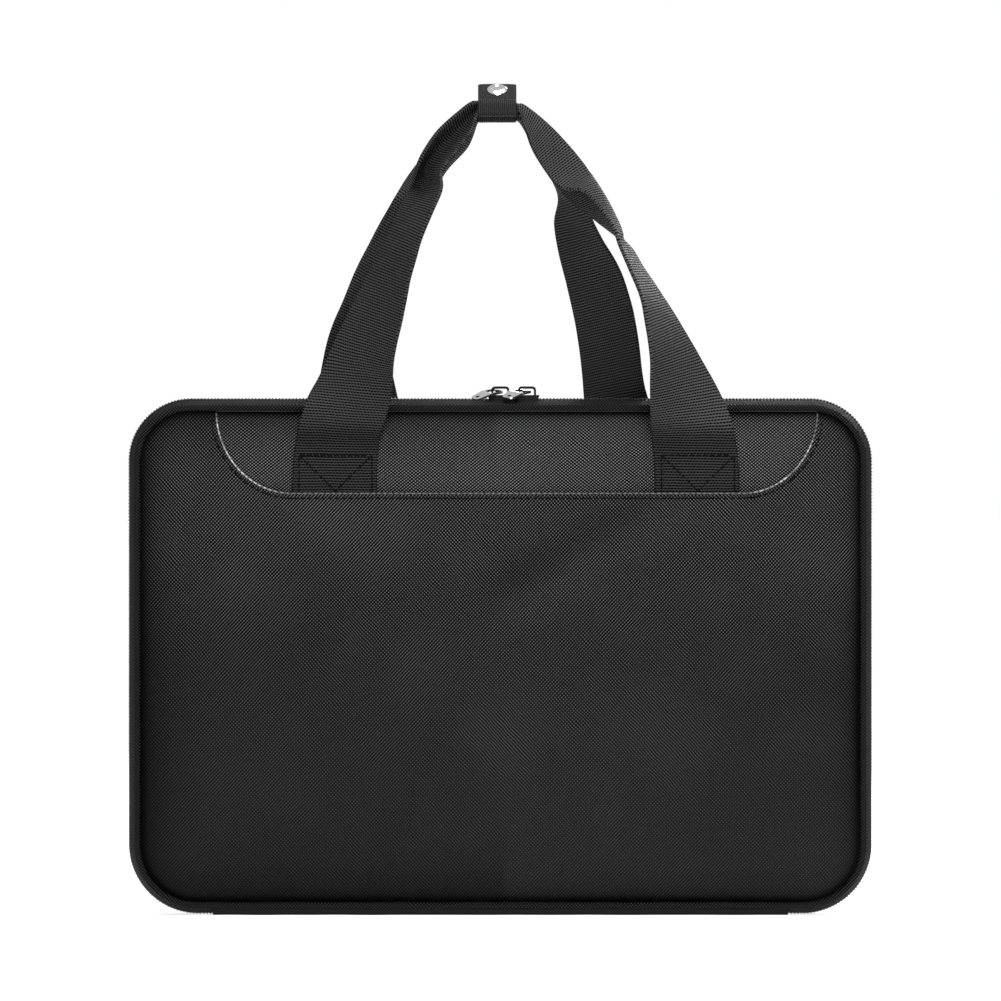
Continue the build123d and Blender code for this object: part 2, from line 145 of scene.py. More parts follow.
def slabFaces(columns, rows, layers=2):
    # faces of a closed slab: layers of a grid of points, each column with as many points as there are rows
    size = columns * rows
    faces = []
    for layer in (0, layers - 1):
        for i in range(columns - 1):
            for j in range(rows - 1):
                a = layer * size + i * rows + j
                quad = (a, a + rows, a + rows + 1, a + 1)
                faces.append(quad if layer else quad[::-1])
    edge = [i * rows for i in range(columns)] + [(columns - 1) * rows + j for j in range(1, rows)]
    edge += [i * rows + rows - 1 for i in range(columns - 2, -1, -1)] + list(range(rows - 2, 0, -1))
    for layer in range(layers - 1):
        low, high = layer * size, (layer + 1) * size
        for a, b in zip(edge, edge[1:] + edge[:1]):
            faces.append((low + a, low + b, high + b, high + a))
    return faces


def ringFaces(rings, size, closed=False):
    # faces of a tube of rings, each of as many points as size, with end caps unless it closes on itself
    faces = []
    for i in range(rings if closed else rings - 1):
        a, b = i * size, (i + 1) % rings * size
        for j in range(size):
            k = (j + 1) % size
            faces.append((a + j, a + k, b + k, b + j))
    if not closed:
        faces.append(tuple(range(size)))
        faces.append(tuple(range((rings - 1) * size, rings * size)))
    return faces


def fit(piece, body, slot, *stands):
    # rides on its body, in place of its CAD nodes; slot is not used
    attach(piece, body)
    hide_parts(*stands)


def roundedTop(x, high, half, corner):
    reach = max(abs(x) - (half - corner), 0)
    return high - corner + math.sqrt(max(corner ** 2 - reach ** 2, 0))


def ease(t):
    t = min(max(t, 0), 1)
    return t * t * (3 - 2 * t)


def mixed(a, b, t):
    return a + (b - a) * t


# the rim: every seam, zip and piping follows this line
def rimSegments():
    w, h = rim["halfWidth"], rim["height"]
    top, low = rim["topCorner"], rim["bottomCorner"]
    quarter = math.pi / 2
    return [
        ("line", (0, 0), (w - low, 0)),
        ("arc", (w - low, low), low, -quarter, 0),
        ("line", (w, low), (w, h - top)),
        ("arc", (w - top, h - top), top, 0, quarter),
        ("line", (w - top, h), (top - w, h)),
        ("arc", (top - w, h - top), top, quarter, math.pi),
        ("line", (-w, h - top), (-w, low)),
        ("arc", (low - w, low), low, math.pi, 3 * quarter),
        ("line", (low - w, 0), (0, 0)),
    ]


def segmentLength(segment):
    if segment[0] == "line":
        return math.dist(segment[1], segment[2])
    return segment[2] * (segment[4] - segment[3])


rimLength = sum(segmentLength(s) for s in rimSegments())


def rimAt(distance):
    # place and outward direction at a distance along the zip line, from the middle of the base to the right
    left = distance % rimLength
    for segment in rimSegments():
        length = segmentLength(segment)
        if left <= length:
            share = left / length
            if segment[0] == "line":
                (x0, z0), (x1, z1) = segment[1], segment[2]
                run = ((x1 - x0) / length, (z1 - z0) / length)
                return (mixed(x0, x1, share), mixed(z0, z1, share)), (run[1], -run[0])
            angle = mixed(segment[3], segment[4], share)
            out = (math.cos(angle), math.sin(angle))
            (cx, cz), radius = segment[1], segment[2]
            return (cx + radius * out[0], cz + radius * out[1]), out
        left -= length
    return (0, 0), (0, -1)


def rimPoint(distance, inset, depth):
    (x, z), (ox, oz) = rimAt(distance)
    return Vector((x - inset * ox, depth, z - inset * oz))


def sweepRim(name, profile, material, start=0.0, end=None, step=3 * mm, side=1, wobble=0.0):
    # carries a closed profile of (inset, depth) points round the rim
    closed = end is None
    end = rimLength if closed else end
    count = max(int((end - start) / step), 8)
    rings = count if closed else count + 1
    vertices, uvs = [], []
    for i in range(rings):
        distance = start + (end - start) * i / count
        shake = wobble * noise.noise(Vector((distance * 60, 3.1 * side, 0.7)))
        across = 0.0
        for j, (inset, depth) in enumerate(profile):
            vertices.append(rimPoint(distance, inset + shake, side * depth))
            if j:
                across += math.dist(profile[j], profile[j - 1])
            uvs.append((distance, across))
    return newObject(name, vertices, ringFaces(rings, len(profile), closed), material, uvs)


def roundProfile(inset, depth, radius, count=12):
    turn = 2 * math.pi / count
    return [(inset + radius * math.cos(i * turn), depth + radius * math.sin(i * turn)) for i in range(count)]


def wallProfile(points, thickness):
    # a strip with an even thickness along an open line of (inset, depth) points
    outer, inner = [], []
    for i, (inset, depth) in enumerate(points):
        before, after = points[max(i - 1, 0)], points[min(i + 1, len(points) - 1)]
        run = Vector((after[0] - before[0], after[1] - before[1])).normalized()
        outer.append((inset, depth))
        inner.append((inset + run.y * thickness, depth - run.x * thickness))
    return outer + inner[::-1]


# shader groups
def newGroup(name, inputs, outputs):
    group = bpy.data.node_groups.new(name, "ShaderNodeTree")
    for label, kind, value in inputs:
        socket = group.interface.new_socket(name=label, in_out="INPUT", socket_type=kind)
        if value is not None:
            socket.default_value = value
    for label, kind in outputs:
        group.interface.new_socket(name=label, in_out="OUTPUT", socket_type=kind)
    return group, group.nodes.new("NodeGroupInput"), group.nodes.new("NodeGroupOutput")


def mathNode(tree, operation, *values, clamp=False):
    node = tree.nodes.new("ShaderNodeMath")
    node.operation = operation
    node.use_clamp = clamp
    for socket, value in zip(node.inputs, values):
        if isinstance(value, (int, float)):
            socket.default_value = value
        else:
            tree.links.new(value, socket)
    return node.outputs[0]


def noiseNode(tree, vector, scale, detail=2.0, roughness=0.5):
    node = tree.nodes.new("ShaderNodeTexNoise")
    node.inputs["Scale"].default_value = scale
    node.inputs["Detail"].default_value = detail
    node.inputs["Roughness"].default_value = roughness
    tree.links.new(vector, node.inputs["Vector"])
    return node.outputs["Fac"]


def mixNode(tree, factor, low, high, blend="MIX"):
    # low and high are colours or sockets
    node = tree.nodes.new("ShaderNodeMix")
    node.data_type = "RGBA"
    node.blend_type = blend
    tree.links.new(factor, node.inputs["Factor"])
    for label, value in (("A", low), ("B", high)):
        if isinstance(value, tuple):
            node.inputs[label].default_value = (*value, 1)
        else:
            tree.links.new(value, node.inputs[label])
    return node.outputs["Result"]


def smoothStep(tree, value, low, high):
    node = tree.nodes.new("ShaderNodeMapRange")
    node.interpolation_type = "SMOOTHSTEP"
    node.inputs["From Min"].default_value = low
    node.inputs["From Max"].default_value = high
    tree.links.new(value, node.inputs["Value"])
    return node.outputs[0]


def buildPlainWeave():
    # heavy yarns over and under in both directions: a height and a mask of the yarns that lie on top
    group, given, made = newGroup(
        "plainWeave",
        [("Place", "NodeSocketVector", None), ("Warp pitch", "NodeSocketFloat", 1.0),
         ("Weft pitch", "NodeSocketFloat", 1.0), ("Unevenness", "NodeSocketFloat", 0.5),
         ("Twill", "NodeSocketFloat", 0.0)],
        [("Height", "NodeSocketFloat"), ("Top yarn", "NodeSocketFloat"), ("Slub", "NodeSocketFloat")],
    )
    split = group.nodes.new("ShaderNodeSeparateXYZ")
    group.links.new(given.outputs["Place"], split.inputs[0])
    slow = noiseNode(group, given.outputs["Place"], 90, 2)
    drift = mathNode(group, "MULTIPLY", mathNode(group, "SUBTRACT", slow, 0.5), 0.0012)
    across = mathNode(group, "ADD", split.outputs["X"], drift)
    along = mathNode(group, "ADD", split.outputs["Z"], drift)
    fullTurn = 2 * math.pi
    warpTurn, weftTurn = [
        mathNode(group, "DIVIDE", mathNode(group, "MULTIPLY", way, fullTurn), given.outputs[pitch])
        for way, pitch in ((across, "Warp pitch"), (along, "Weft pitch"))
    ]
    warp = mathNode(group, "SINE", warpTurn)
    weft = mathNode(group, "SINE", weftTurn)
    cell = mathNode(group, "MULTIPLY", warp, weft)
    cosines = [mathNode(group, "COSINE", turn) for turn in (warpTurn, weftTurn)]
    cross = mathNode(group, "MULTIPLY", *cosines)
    patch = noiseNode(group, given.outputs["Place"], 17, 1)
    twill = mathNode(group, "MULTIPLY", mathNode(group, "SUBTRACT", patch, 0.5), given.outputs["Twill"])
    cell = mathNode(group, "ADD", cell, mathNode(group, "MULTIPLY", cross, twill))
    rough = noiseNode(group, given.outputs["Place"], 1400, 3, 0.7)
    uneven = mathNode(group, "MULTIPLY", mathNode(group, "SUBTRACT", rough, 0.5), given.outputs["Unevenness"])
    height = mathNode(group, "ADD", cell, uneven)
    slub = noiseNode(group, given.outputs["Place"], 260, 3, 0.65)
    group.links.new(height, made.inputs["Height"])
    group.links.new(smoothStep(group, height, -0.1, 0.95), made.inputs["Top yarn"])
    group.links.new(slub, made.inputs["Slub"])
    return group


def buildRibbedWeave():
    # webbing and tape: ribs across the run with fine yarns along it, read from the piece's own UV map
    group, given, made = newGroup(
        "ribbedWeave",
        [("Place", "NodeSocketVector", None), ("Rib pitch", "NodeSocketFloat", 1.0),
         ("Yarn pitch", "NodeSocketFloat", 1.0), ("Slant", "NodeSocketFloat", 0.0),
         ("Unevenness", "NodeSocketFloat", 0.4)],
        [("Height", "NodeSocketFloat"), ("Top yarn", "NodeSocketFloat"), ("Slub", "NodeSocketFloat")],
    )
    split = group.nodes.new("ShaderNodeSeparateXYZ")
    group.links.new(given.outputs["Place"], split.inputs[0])
    slow = noiseNode(group, given.outputs["Place"], 70, 2)
    drift = mathNode(group, "MULTIPLY", mathNode(group, "SUBTRACT", slow, 0.5), 0.0008)
    slanted = mathNode(group, "MULTIPLY", split.outputs["X"], given.outputs["Slant"])
    along = mathNode(group, "ADD", mathNode(group, "ADD", split.outputs["Y"], drift), slanted)
    turn = mathNode(group, "DIVIDE", mathNode(group, "MULTIPLY", along, math.pi), given.outputs["Rib pitch"])
    rib = mathNode(group, "ABSOLUTE", mathNode(group, "SINE", turn))
    yarnTurn = mathNode(group, "DIVIDE", mathNode(group, "MULTIPLY", split.outputs["X"], 2 * math.pi),
                        given.outputs["Yarn pitch"])
    yarn = mathNode(group, "MULTIPLY", mathNode(group, "SINE", yarnTurn), mathNode(group, "COSINE", turn))
    rough = noiseNode(group, given.outputs["Place"], 1200, 3, 0.7)
    uneven = mathNode(group, "MULTIPLY", mathNode(group, "SUBTRACT", rough, 0.5), given.outputs["Unevenness"])
    ribbed = mathNode(group, "ADD", rib, mathNode(group, "MULTIPLY", yarn, 0.3))
    height = mathNode(group, "ADD", ribbed, uneven)
    slub = noiseNode(group, given.outputs["Place"], 180, 3, 0.6)
    group.links.new(height, made.inputs["Height"])
    group.links.new(smoothStep(group, height, 0.15, 1.15), made.inputs["Top yarn"])
    group.links.new(slub, made.inputs["Slub"])
    return group


def buildLint():
    # sparse pale fibres and dust that settle on dark cloth
    group, given, made = newGroup(
        "lint",
        [("Place", "NodeSocketVector", None), ("Amount", "NodeSocketFloat", 0.5)],
        [("Mask", "NodeSocketFloat")],
    )
    fine = noiseNode(group, given.outputs["Place"], 2600, 2, 0.6)
    patch = noiseNode(group, given.outputs["Place"], 24, 3, 0.6)
    speck = mathNode(group, "GREATER_THAN", fine, 0.735)
    spread = mathNode(group, "MULTIPLY", speck, patch)
    group.links.new(mathNode(group, "MULTIPLY", spread, given.outputs["Amount"]), made.inputs["Mask"])
    return group


def buildWear():
    # handling marks on metal: fine scratches and smudges
    group, given, made = newGroup(
        "metalWear",
        [("Place", "NodeSocketVector", None), ("Smooth", "NodeSocketFloat", 0.1),
         ("Worn", "NodeSocketFloat", 0.4)],
        [("Roughness", "NodeSocketFloat"), ("Height", "NodeSocketFloat")],
    )
    stretch = group.nodes.new("ShaderNodeMapping")
    stretch.inputs["Scale"].default_value = (1, 9, 3)
    group.links.new(given.outputs["Place"], stretch.inputs["Vector"])
    scratch = noiseNode(group, stretch.outputs[0], 900, 4, 0.7)
    smudge = noiseNode(group, given.outputs["Place"], 220, 3, 0.6)
    mark = mathNode(group, "MULTIPLY", scratch, smudge)
    span = mathNode(group, "SUBTRACT", given.outputs["Worn"], given.outputs["Smooth"])
    rough = mathNode(group, "ADD", mathNode(group, "MULTIPLY", mark, span), given.outputs["Smooth"])
    group.links.new(rough, made.inputs["Roughness"])
    group.links.new(scratch, made.inputs["Height"])
    return group


weaves = {"plain": buildPlainWeave(), "ribbed": buildRibbedWeave()}
lintGroup = buildLint()
wearGroup = buildWear()


# materials
def coordinates(tree, fromUv):
    if fromUv:
        source = tree.nodes.new("ShaderNodeUVMap")
        source.uv_map = "UVMap"
        return source.outputs[0]
    return tree.nodes.new("ShaderNodeTexCoord").outputs["Object"]


def clothMaterial(name, look):
    # look: dark and light yarn colours (partly painted shade in the gaps and a painted highlight on the yarn
    # tops), weave, pitches, bump height and lint
    material = bpy.data.materials.new(name)
    material.use_nodes = True
    tree = material.node_tree
    shader = tree.nodes["Principled BSDF"]
    weave = tree.nodes.new("ShaderNodeGroup")
    weave.node_tree = weaves[look["weave"]]
    tree.links.new(coordinates(tree, look["weave"] == "ribbed"), weave.inputs["Place"])
    for label, value in look["sizes"].items():
        weave.inputs[label].default_value = value
    topYarn = weave.outputs["Top yarn"]
    lit = topYarn
    if look.get("paintedShade"):
        # painted light and shade, with a little random tone: contrast and brightness of the yarns, stored on
        # the mesh
        paintedShadeAndTone = tree.nodes.new("ShaderNodeAttribute")
        paintedShadeAndTone.attribute_name = "paintedShadeAndTone"
        parts = tree.nodes.new("ShaderNodeSeparateXYZ")
        tree.links.new(paintedShadeAndTone.outputs["Vector"], parts.inputs[0])
        contrast, brightness = parts.outputs["X"], parts.outputs["Y"]
        even = mathNode(tree, "MULTIPLY", mathNode(tree, "SUBTRACT", 1.0, contrast), look["middle"])
        lit = mathNode(tree, "ADD", mathNode(tree, "MULTIPLY", lit, contrast), even)
        lit = mathNode(tree, "MULTIPLY", lit, brightness)
    # the woven pattern, with a painted highlight on the yarn tops and painted shade in the gaps between them
    colour = mixNode(tree, lit, look["low"], look["high"])
    clouded = mathNode(tree, "MULTIPLY", weave.outputs["Slub"], 0.5)
    colour = mixNode(tree, clouded, colour, clothTint["cloud"], "MULTIPLY")
    lint = tree.nodes.new("ShaderNodeGroup")
    lint.node_tree = lintGroup
    lint.inputs["Amount"].default_value = look["lint"]
    tree.links.new(coordinates(tree, False), lint.inputs["Place"])
    colour = mixNode(tree, lint.outputs["Mask"], colour, clothTint["lint"])
    if "pale" in look:
        # a paler cut edge with a painted highlight, where the mesh marks it
        wearAndHighlight = tree.nodes.new("ShaderNodeAttribute")
        wearAndHighlight.attribute_name = "wearAndHighlight"
        share = mathNode(tree, "ADD", mathNode(tree, "MULTIPLY", topYarn, 0.2), 0.8)
        colour = mixNode(tree, mathNode(tree, "MULTIPLY", wearAndHighlight.outputs["Fac"], share), colour, look["pale"])
    tree.links.new(colour, shader.inputs["Base Color"])
    smooth, coarse = look["roughness"]
    spread = mathNode(tree, "MULTIPLY", topYarn, smooth - coarse)
    tree.links.new(mathNode(tree, "ADD", spread, coarse), shader.inputs["Roughness"])
    bump = tree.nodes.new("ShaderNodeBump")
    bump.inputs["Strength"].default_value = look["bump"]
    bump.inputs["Distance"].default_value = look["relief"]
    tree.links.new(weave.outputs["Height"], bump.inputs["Height"])
    tree.links.new(bump.outputs[0], shader.inputs["Normal"])
    shader.inputs["Specular IOR Level"].default_value = look["gloss"]
    return material


def metalMaterial(name, colour, smooth, wearAndHighlight, metallic=1.0, coat=0.0, gloss=0.5):
    material = bpy.data.materials.new(name)
    material.use_nodes = True
    tree = material.node_tree
    shader = tree.nodes["Principled BSDF"]
    wear = tree.nodes.new("ShaderNodeGroup")
    wear.node_tree = wearGroup
    wear.inputs["Smooth"].default_value = smooth
    wear.inputs["Worn"].default_value = wearAndHighlight
    tree.links.new(coordinates(tree, False), wear.inputs["Place"])
    tree.links.new(wear.outputs["Roughness"], shader.inputs["Roughness"])
    bump = tree.nodes.new("ShaderNodeBump")
    bump.inputs["Strength"].default_value = 0.15
    bump.inputs["Distance"].default_value = 0.05 * mm
    tree.links.new(wear.outputs["Height"], bump.inputs["Height"])
    tree.links.new(bump.outputs[0], shader.inputs["Normal"])
    shader.inputs["Base Color"].default_value = (*colour, 1)
    shader.inputs["Metallic"].default_value = metallic
    shader.inputs["Coat Weight"].default_value = coat
    shader.inputs["Specular IOR Level"].default_value = gloss
    return material


def grey(value, warmth=0.0):
    return (value * (1 + warmth), value, value * (1 - warmth))


clothTint = {"cloud": (0.55, 0.55, 0.57), "lint": (0.28, 0.28, 0.28)}
ballistic = {
    "weave": "plain", "low": grey(0.0006), "high": grey(0.088), "roughness": (0.5, 0.85), "gloss": 0.03,
    "sizes": {"Warp pitch": 1.58 * mm, "Weft pitch": 1.70 * mm, "Unevenness": 0.45, "Twill": 2.6},
    "bump": 0.9, "relief": 0.25 * mm, "lint": 0.35, "paintedShade": True, "middle": 0.2,
}
# the same nylon with brighter yarn tops: painted light where the yoke leans back towards the top light
yokePaintedLightCloth = dict(ballistic, high=grey(0.145), sizes={"Warp pitch": 1.73 * mm, "Weft pitch": 1.43 * mm,
                                                     "Unevenness": 0.4, "Twill": 1.2})
webbingCloth = {
    "weave": "ribbed", "low": grey(0.001), "high": grey(0.050), "roughness": (0.5, 0.85), "gloss": 0.03,
    "sizes": {"Rib pitch": 1.25 * mm, "Yarn pitch": 1.5 * mm, "Slant": 0.0, "Unevenness": 0.45},
    "bump": 0.9, "relief": 0.3 * mm, "lint": 0.3, "middle": 0.5,
}
tapeCloth = dict(webbingCloth, low=grey(0.001), high=grey(0.02),
                 sizes={"Rib pitch": 0.7 * mm, "Yarn pitch": 0.7 * mm, "Slant": 0.7, "Unevenness": 0.6},
                 relief=0.12 * mm)
pipingCloth = dict(ballistic, paintedShade=False, low=grey(0.0003), high=grey(0.04), relief=0.2 * mm,
                   sizes={"Warp pitch": 1.5 * mm, "Weft pitch": 1.5 * mm, "Unevenness": 0.6, "Twill": 1.0})
liningCloth = dict(ballistic, paintedShade=False, low=grey(0.03), high=grey(0.06), roughness=(0.4, 0.6), bump=0.4,
                   sizes={"Warp pitch": 0.6 * mm, "Weft pitch": 0.6 * mm, "Unevenness": 0.2, "Twill": 0.0},
                   relief=0.06 * mm, lint=0.15)
elasticCloth = dict(webbingCloth, low=grey(0.008), high=grey(0.04),
                    sizes={"Rib pitch": 1.0 * mm, "Yarn pitch": 1.4 * mm, "Slant": 0.0, "Unevenness": 0.25})
threadCloth = dict(ballistic, paintedShade=False, low=grey(0.0015), high=grey(0.012),
                   sizes={"Warp pitch": 0.3 * mm, "Weft pitch": 0.3 * mm, "Unevenness": 0.3, "Twill": 0.0},
                   relief=0.05 * mm)
keeperCloth = dict(webbingCloth, low=grey(0.005), high=grey(0.028), relief=0.12 * mm,
                   sizes={"Rib pitch": 0.9 * mm, "Yarn pitch": 1.2 * mm, "Slant": 0.0, "Unevenness": 0.5})
# the pale colour on the scoops is a paler cut edge with a painted highlight
hemCloth = dict(webbingCloth, low=grey(0.01), high=grey(0.09), relief=0.08 * mm, pale=grey(0.4),
                sizes={"Rib pitch": 2.6 * mm, "Yarn pitch": 1.1 * mm, "Slant": 0.5, "Unevenness": 0.8})

cloth = {
    "panel": clothMaterial("ballisticNylon", ballistic),
    "yoke": clothMaterial("yokeNylon", yokePaintedLightCloth),
    "webbing": clothMaterial("handleWebbing", dict(webbingCloth, paintedShade=True)),
    "tape": clothMaterial("zipTape", tapeCloth),
    "piping": clothMaterial("pipingCover", pipingCloth),
    "lining": clothMaterial("liningNylon", liningCloth),
    "elastic": clothMaterial("wovenElastic", elasticCloth),
    "thread": clothMaterial("sewingThread", threadCloth),
    "keeper": clothMaterial("keeperCloth", keeperCloth),
    "hem": clothMaterial("foldedEdge", hemCloth),
}
metal = {
    "chrome": metalMaterial("polishedChrome", grey(0.82), 0.06, 0.35),
    "enamel": metalMaterial("blackEnamel", grey(0.003), 0.3, 0.6, metallic=0.0, coat=0.03, gloss=0.12),
    "plated": metalMaterial("platedSteel", grey(0.62, 0.03), 0.15, 0.5),
    "nylon": metalMaterial("coilNylon", grey(0.008), 0.3, 0.6, metallic=0.0),
    "board": metalMaterial("stiffBoard", grey(0.05), 0.5, 0.8, metallic=0.0),
    "cord": metalMaterial("fillerCord", grey(0.6), 0.4, 0.7, metallic=0.0),
}
print("materials ready")


# padded covers
cover = {
    "groove": 1.9 * mm,       # flat strip beside the piping
    "edgeRoll": 13 * mm,      # how far in the padding takes to reach its full height
    "crownReach": 38 * mm,
    "crownShare": 0.2,
    "yokeLean": 0.78,         # share of the height lost at the top edge
    "column": 4 * mm,         # between stations across
    "rows": 58,
    "seamBack": 1.4 * mm,     # the skin's edge lies this far behind its face
    "skin": 0.3 * mm,
    "seamRise": 2 * mm,       # width of the step from the seam to the face
    "pucker": 0.28 * mm,
    "puckerReach": 9 * mm,
    "puckerFrom": 3 * mm,
    "puckerGrain": 130,       # noise scale for each metre
    "undulation": 0.55 * mm,
    "undulationFrom": 14 * mm,
    "undulationGrain": 22,
    "strapMargin": 4 * mm,    # the cloth lies still this far beside a strap end
    "strapFade": 16 * mm,
}
overlay = {
    "edgeZ": hemLow.z,
    "scoopLeft": hemLow.x,
    "scoopRight": hemHigh.x,
    "cornerX": 34.8 * mm,
    "cornerZ": 38.5 * mm,
    "stand": 1.7 * mm,        # above the pad
    "overStrap": 1.7 * mm,    # more where a strap end lies beneath
    "thickness": 1.0 * mm,
    "hemRadius": 0.36 * mm,
    "turns": 64,              # points along each scoop
    "sides": 10,              # of the hem's tube
    "seamFrom": 2.4 * mm,     # sewn line below the edge
    "seamDip": 0.35 * mm,
    "seamWidth": 0.9 * mm,
    "standFrom": 12 * mm,     # full height this far inside the piping
    "held": 0.9,              # share of its unrest and folds lost over a strap end
    "dash": 3.3 * mm,         # pale dashes along the scoops: a paler cut edge with a painted highlight
}


def outlineTop(x, inset):
    radius = rim["topCorner"] - inset
    reach = abs(x) - (rim["halfWidth"] - rim["topCorner"])
    drop = radius - math.sqrt(max(radius ** 2 - max(reach, 0) ** 2, 0))
    return rim["height"] - inset - drop


def outlineBase(x, inset):
    radius = rim["bottomCorner"] - inset
    reach = abs(x) - (rim["halfWidth"] - rim["bottomCorner"])
    return inset + radius - math.sqrt(max(radius ** 2 - max(reach, 0) ** 2, 0))


def distanceInside(x, z, inset):
    # distance to the inset outline, from inside it
    half = rim["halfWidth"] - inset
    corner = (rim["topCorner"] if z > rim["height"] / 2 else rim["bottomCorner"]) - inset
    middle = rim["height"] / 2
    qx = abs(x) - (half - corner)
    qz = abs(z - middle) - (middle - inset - corner)
    outside = math.hypot(max(qx, 0), max(qz, 0)) + min(max(qx, qz), 0)
    return max(corner - outside, 0)


def edgesAt(inset):
    # base and top of the outline at any x, set in all round
    return lambda x: outlineBase(x, inset), lambda x: outlineTop(x, inset)


def padRise(x, z):
    # how far the padded face stands out from the seam plane
    inside = max(distanceInside(x, z, panelInset) - cover["groove"], 0)
    share = min(inside / cover["edgeRoll"], 1)
    roll = math.sqrt(max(1 - (1 - share) ** 2, 0))
    crown = 1 - math.exp(-inside / cover["crownReach"])
    face = panelRise * ((1 - cover["crownShare"]) * roll + cover["crownShare"] * crown)
    top = rim["height"] - panelInset
    lean = max(z - overlay["edgeZ"], 0) / (top - overlay["edgeZ"])
    return face * (1 - cover["yokeLean"] * min(lean, 1) ** 1.1)


def clothUnrest(x, z, seed):
    # soft undulation over the face and small puckers beside the seam
    inside = distanceInside(x, z, panelInset)
    broad, small = cover["undulationGrain"], cover["puckerGrain"]
    slow = noise.noise(Vector((x * broad, z * broad, seed)))
    fine = noise.noise(Vector((x * small, z * small, seed + 4)))
    fade = min(inside / cover["undulationFrom"], 1)
    beside = math.exp(-inside / cover["puckerReach"]) * min(inside / cover["puckerFrom"], 1)
    return cover["undulation"] * slow * fade + cover["pucker"] * fine * beside


def yokeEdge(x):
    # height of the overlay's top edge, or None where it runs up to the rim
    left, right = overlay["scoopLeft"], overlay["scoopRight"]
    a, b = overlay["cornerX"], overlay["cornerZ"]
    if x <= left or x >= right:
        return None
    reach = max(left + a - x, x - (right - a), 0) / a
    return overlay["edgeZ"] + b * (1 - math.sqrt(max(1 - reach ** 2, 0)))


def arcSpaced(start, end, count):
    # stations that bunch up at start, as they do along a quarter circle
    return [start + (end - start) * (1 - math.cos(math.pi / 2 * i / count)) for i in range(count)]


def evenSpaced(start, end, step):
    count = max(math.ceil((end - start) / step), 0)
    return [start + (end - start) * i / count for i in range(count)]


def coverColumns(inset, scoops):
    # stations across a cover, closer together round its corners and the scoops
    half = rim["halfWidth"] - inset
    bend = rim["halfWidth"] - rim["bottomCorner"]
    start, end = -bend, bend
    if scoops:
        (left, right), corner = scoops, overlay["cornerX"]
        start, end = min(-bend, left), max(bend, right)
        middle = evenSpaced(start, left, cover["column"]) + arcSpaced(left, left + corner, 12)
        middle += evenSpaced(left + corner, right - corner, cover["column"])
        middle += [right - corner] + arcSpaced(right, right - corner, 12)[:0:-1]
        middle += evenSpaced(right, end, cover["column"])
    else:
        middle = evenSpaced(start, end, cover["column"])
    tail = [x for x in arcSpaced(half, end, 9)[::-1] if x > end + 0.2 * mm]
    return arcSpaced(-half, start, 9) + middle + [end] + tail


def rowShares(count):
    # rows closer together at both ends
    return [0.5 - 0.5 * math.cos(math.pi * i / count) for i in range(count + 1)]


def faceGrid(name, columns, baseAt, topAt, depthAt, side, material, backDepth=None, thickness=None):
    # a closed sheet or pad over columns of x, from baseAt(x) to topAt(x)
    shares = rowShares(cover["rows"])
    vertices, uvs = [], []
    for back in (False, True):
        for x in columns:
            low, high = baseAt(x), topAt(x)
            for share in shares:
                z = mixed(low, high, share)
                depth = depthAt(x, z)
                if back:
                    depth = backDepth if backDepth is not None else depth - thickness
                vertices.append((x, side * depth, z))
                uvs.append((x, z))
    return newObject(name, vertices, slabFaces(len(columns), len(shares)), material, uvs)


def flatArea(columns, baseAt, topAt):
    # area of the cut, from the outline alone
    total = 0.0
    for a, b in zip(columns, columns[1:]):
        total += (b - a) * (topAt(a) - baseAt(a) + topAt(b) - baseAt(b)) / 2
    return total


def makePad(side, seed):
    name = "frontPad" if side < 0 else "rearPad"
    boxes = frontStrapBoxes if side < 0 else rearStrapBoxes
    seam = panelBack - cover["seamBack"]

    def depthAt(x, z):
        inside = distanceInside(x, z, panelInset)
        rest = clothUnrest(x, z, seed) * (1 - 0.95 * strapBelow(x, z, boxes))
        return seam + (panelBack - seam) * min(inside / cover["seamRise"], 1) + padRise(x, z) + rest

    columns = coverColumns(panelInset, None)
    return faceGrid(name, columns, *edgesAt(panelInset), depthAt, side, cloth["yoke"],
                    backDepth=seam - cover["skin"])


def softRidge(x, z, start, end, width, height):
    # a soft fold along a line, dying out at its ends
    run = Vector((end[0] - start[0], end[1] - start[1]))
    offset = Vector((x - start[0], z - start[1]))
    along = offset.dot(run) / run.length_squared
    away = abs(offset.x * run.y - offset.y * run.x) / run.length
    fade = ease(min((along + 0.25) / 0.4, (1.25 - along) / 0.4))
    return height * fade * math.exp(-(away / width) ** 2)


frontFolds = [
    # start, end, half-width and height of each soft fold in the pocket panel
    ((66 * mm, 187 * mm), (-2 * mm, 150 * mm), 7 * mm, -1.7 * mm),
    ((70 * mm, 177 * mm), (2 * mm, 130 * mm), 10 * mm, 1.5 * mm),
    ((136 * mm, 186 * mm), (146 * mm, 183 * mm), 5 * mm, 0.9 * mm),
    ((110 * mm, 173 * mm), (121 * mm, 170 * mm), 6 * mm, 0.9 * mm),
    ((-101 * mm, 186 * mm), (-97 * mm, 179 * mm), 4 * mm, -1.0 * mm),
    ((-60 * mm, 120 * mm), (20 * mm, 95 * mm), 26 * mm, 1.0 * mm),
]
rearFolds = [
    ((-70 * mm, 182 * mm), (10 * mm, 150 * mm), 8 * mm, -0.8 * mm),
    ((40 * mm, 120 * mm), (-50 * mm, 80 * mm), 24 * mm, 0.5 * mm),
]


def edgeDistance(x, z):
    # distance below the overlay's top edge, along the scoops too
    a, b = overlay["cornerX"], overlay["cornerZ"]
    acrossShare = max((overlay["scoopLeft"] + a - x) / a, (x - overlay["scoopRight"] + a) / a, 0)
    downShare = max((overlay["edgeZ"] + b - z) / b, 0)
    return (math.hypot(acrossShare, downShare) - 1) * b


def strapBelow(x, z, boxes):
    # 1 over a strap end, fading to 0 beside and below it
    near, margin = 0.0, cover["strapMargin"]
    for low, high in boxes:
        beside = max(low.x - margin - x, x - high.x - margin, 0)
        below = max(low.z - z, 0)
        near = max(near, 1 - ease(math.hypot(beside, below) / cover["strapFade"]))
    return near


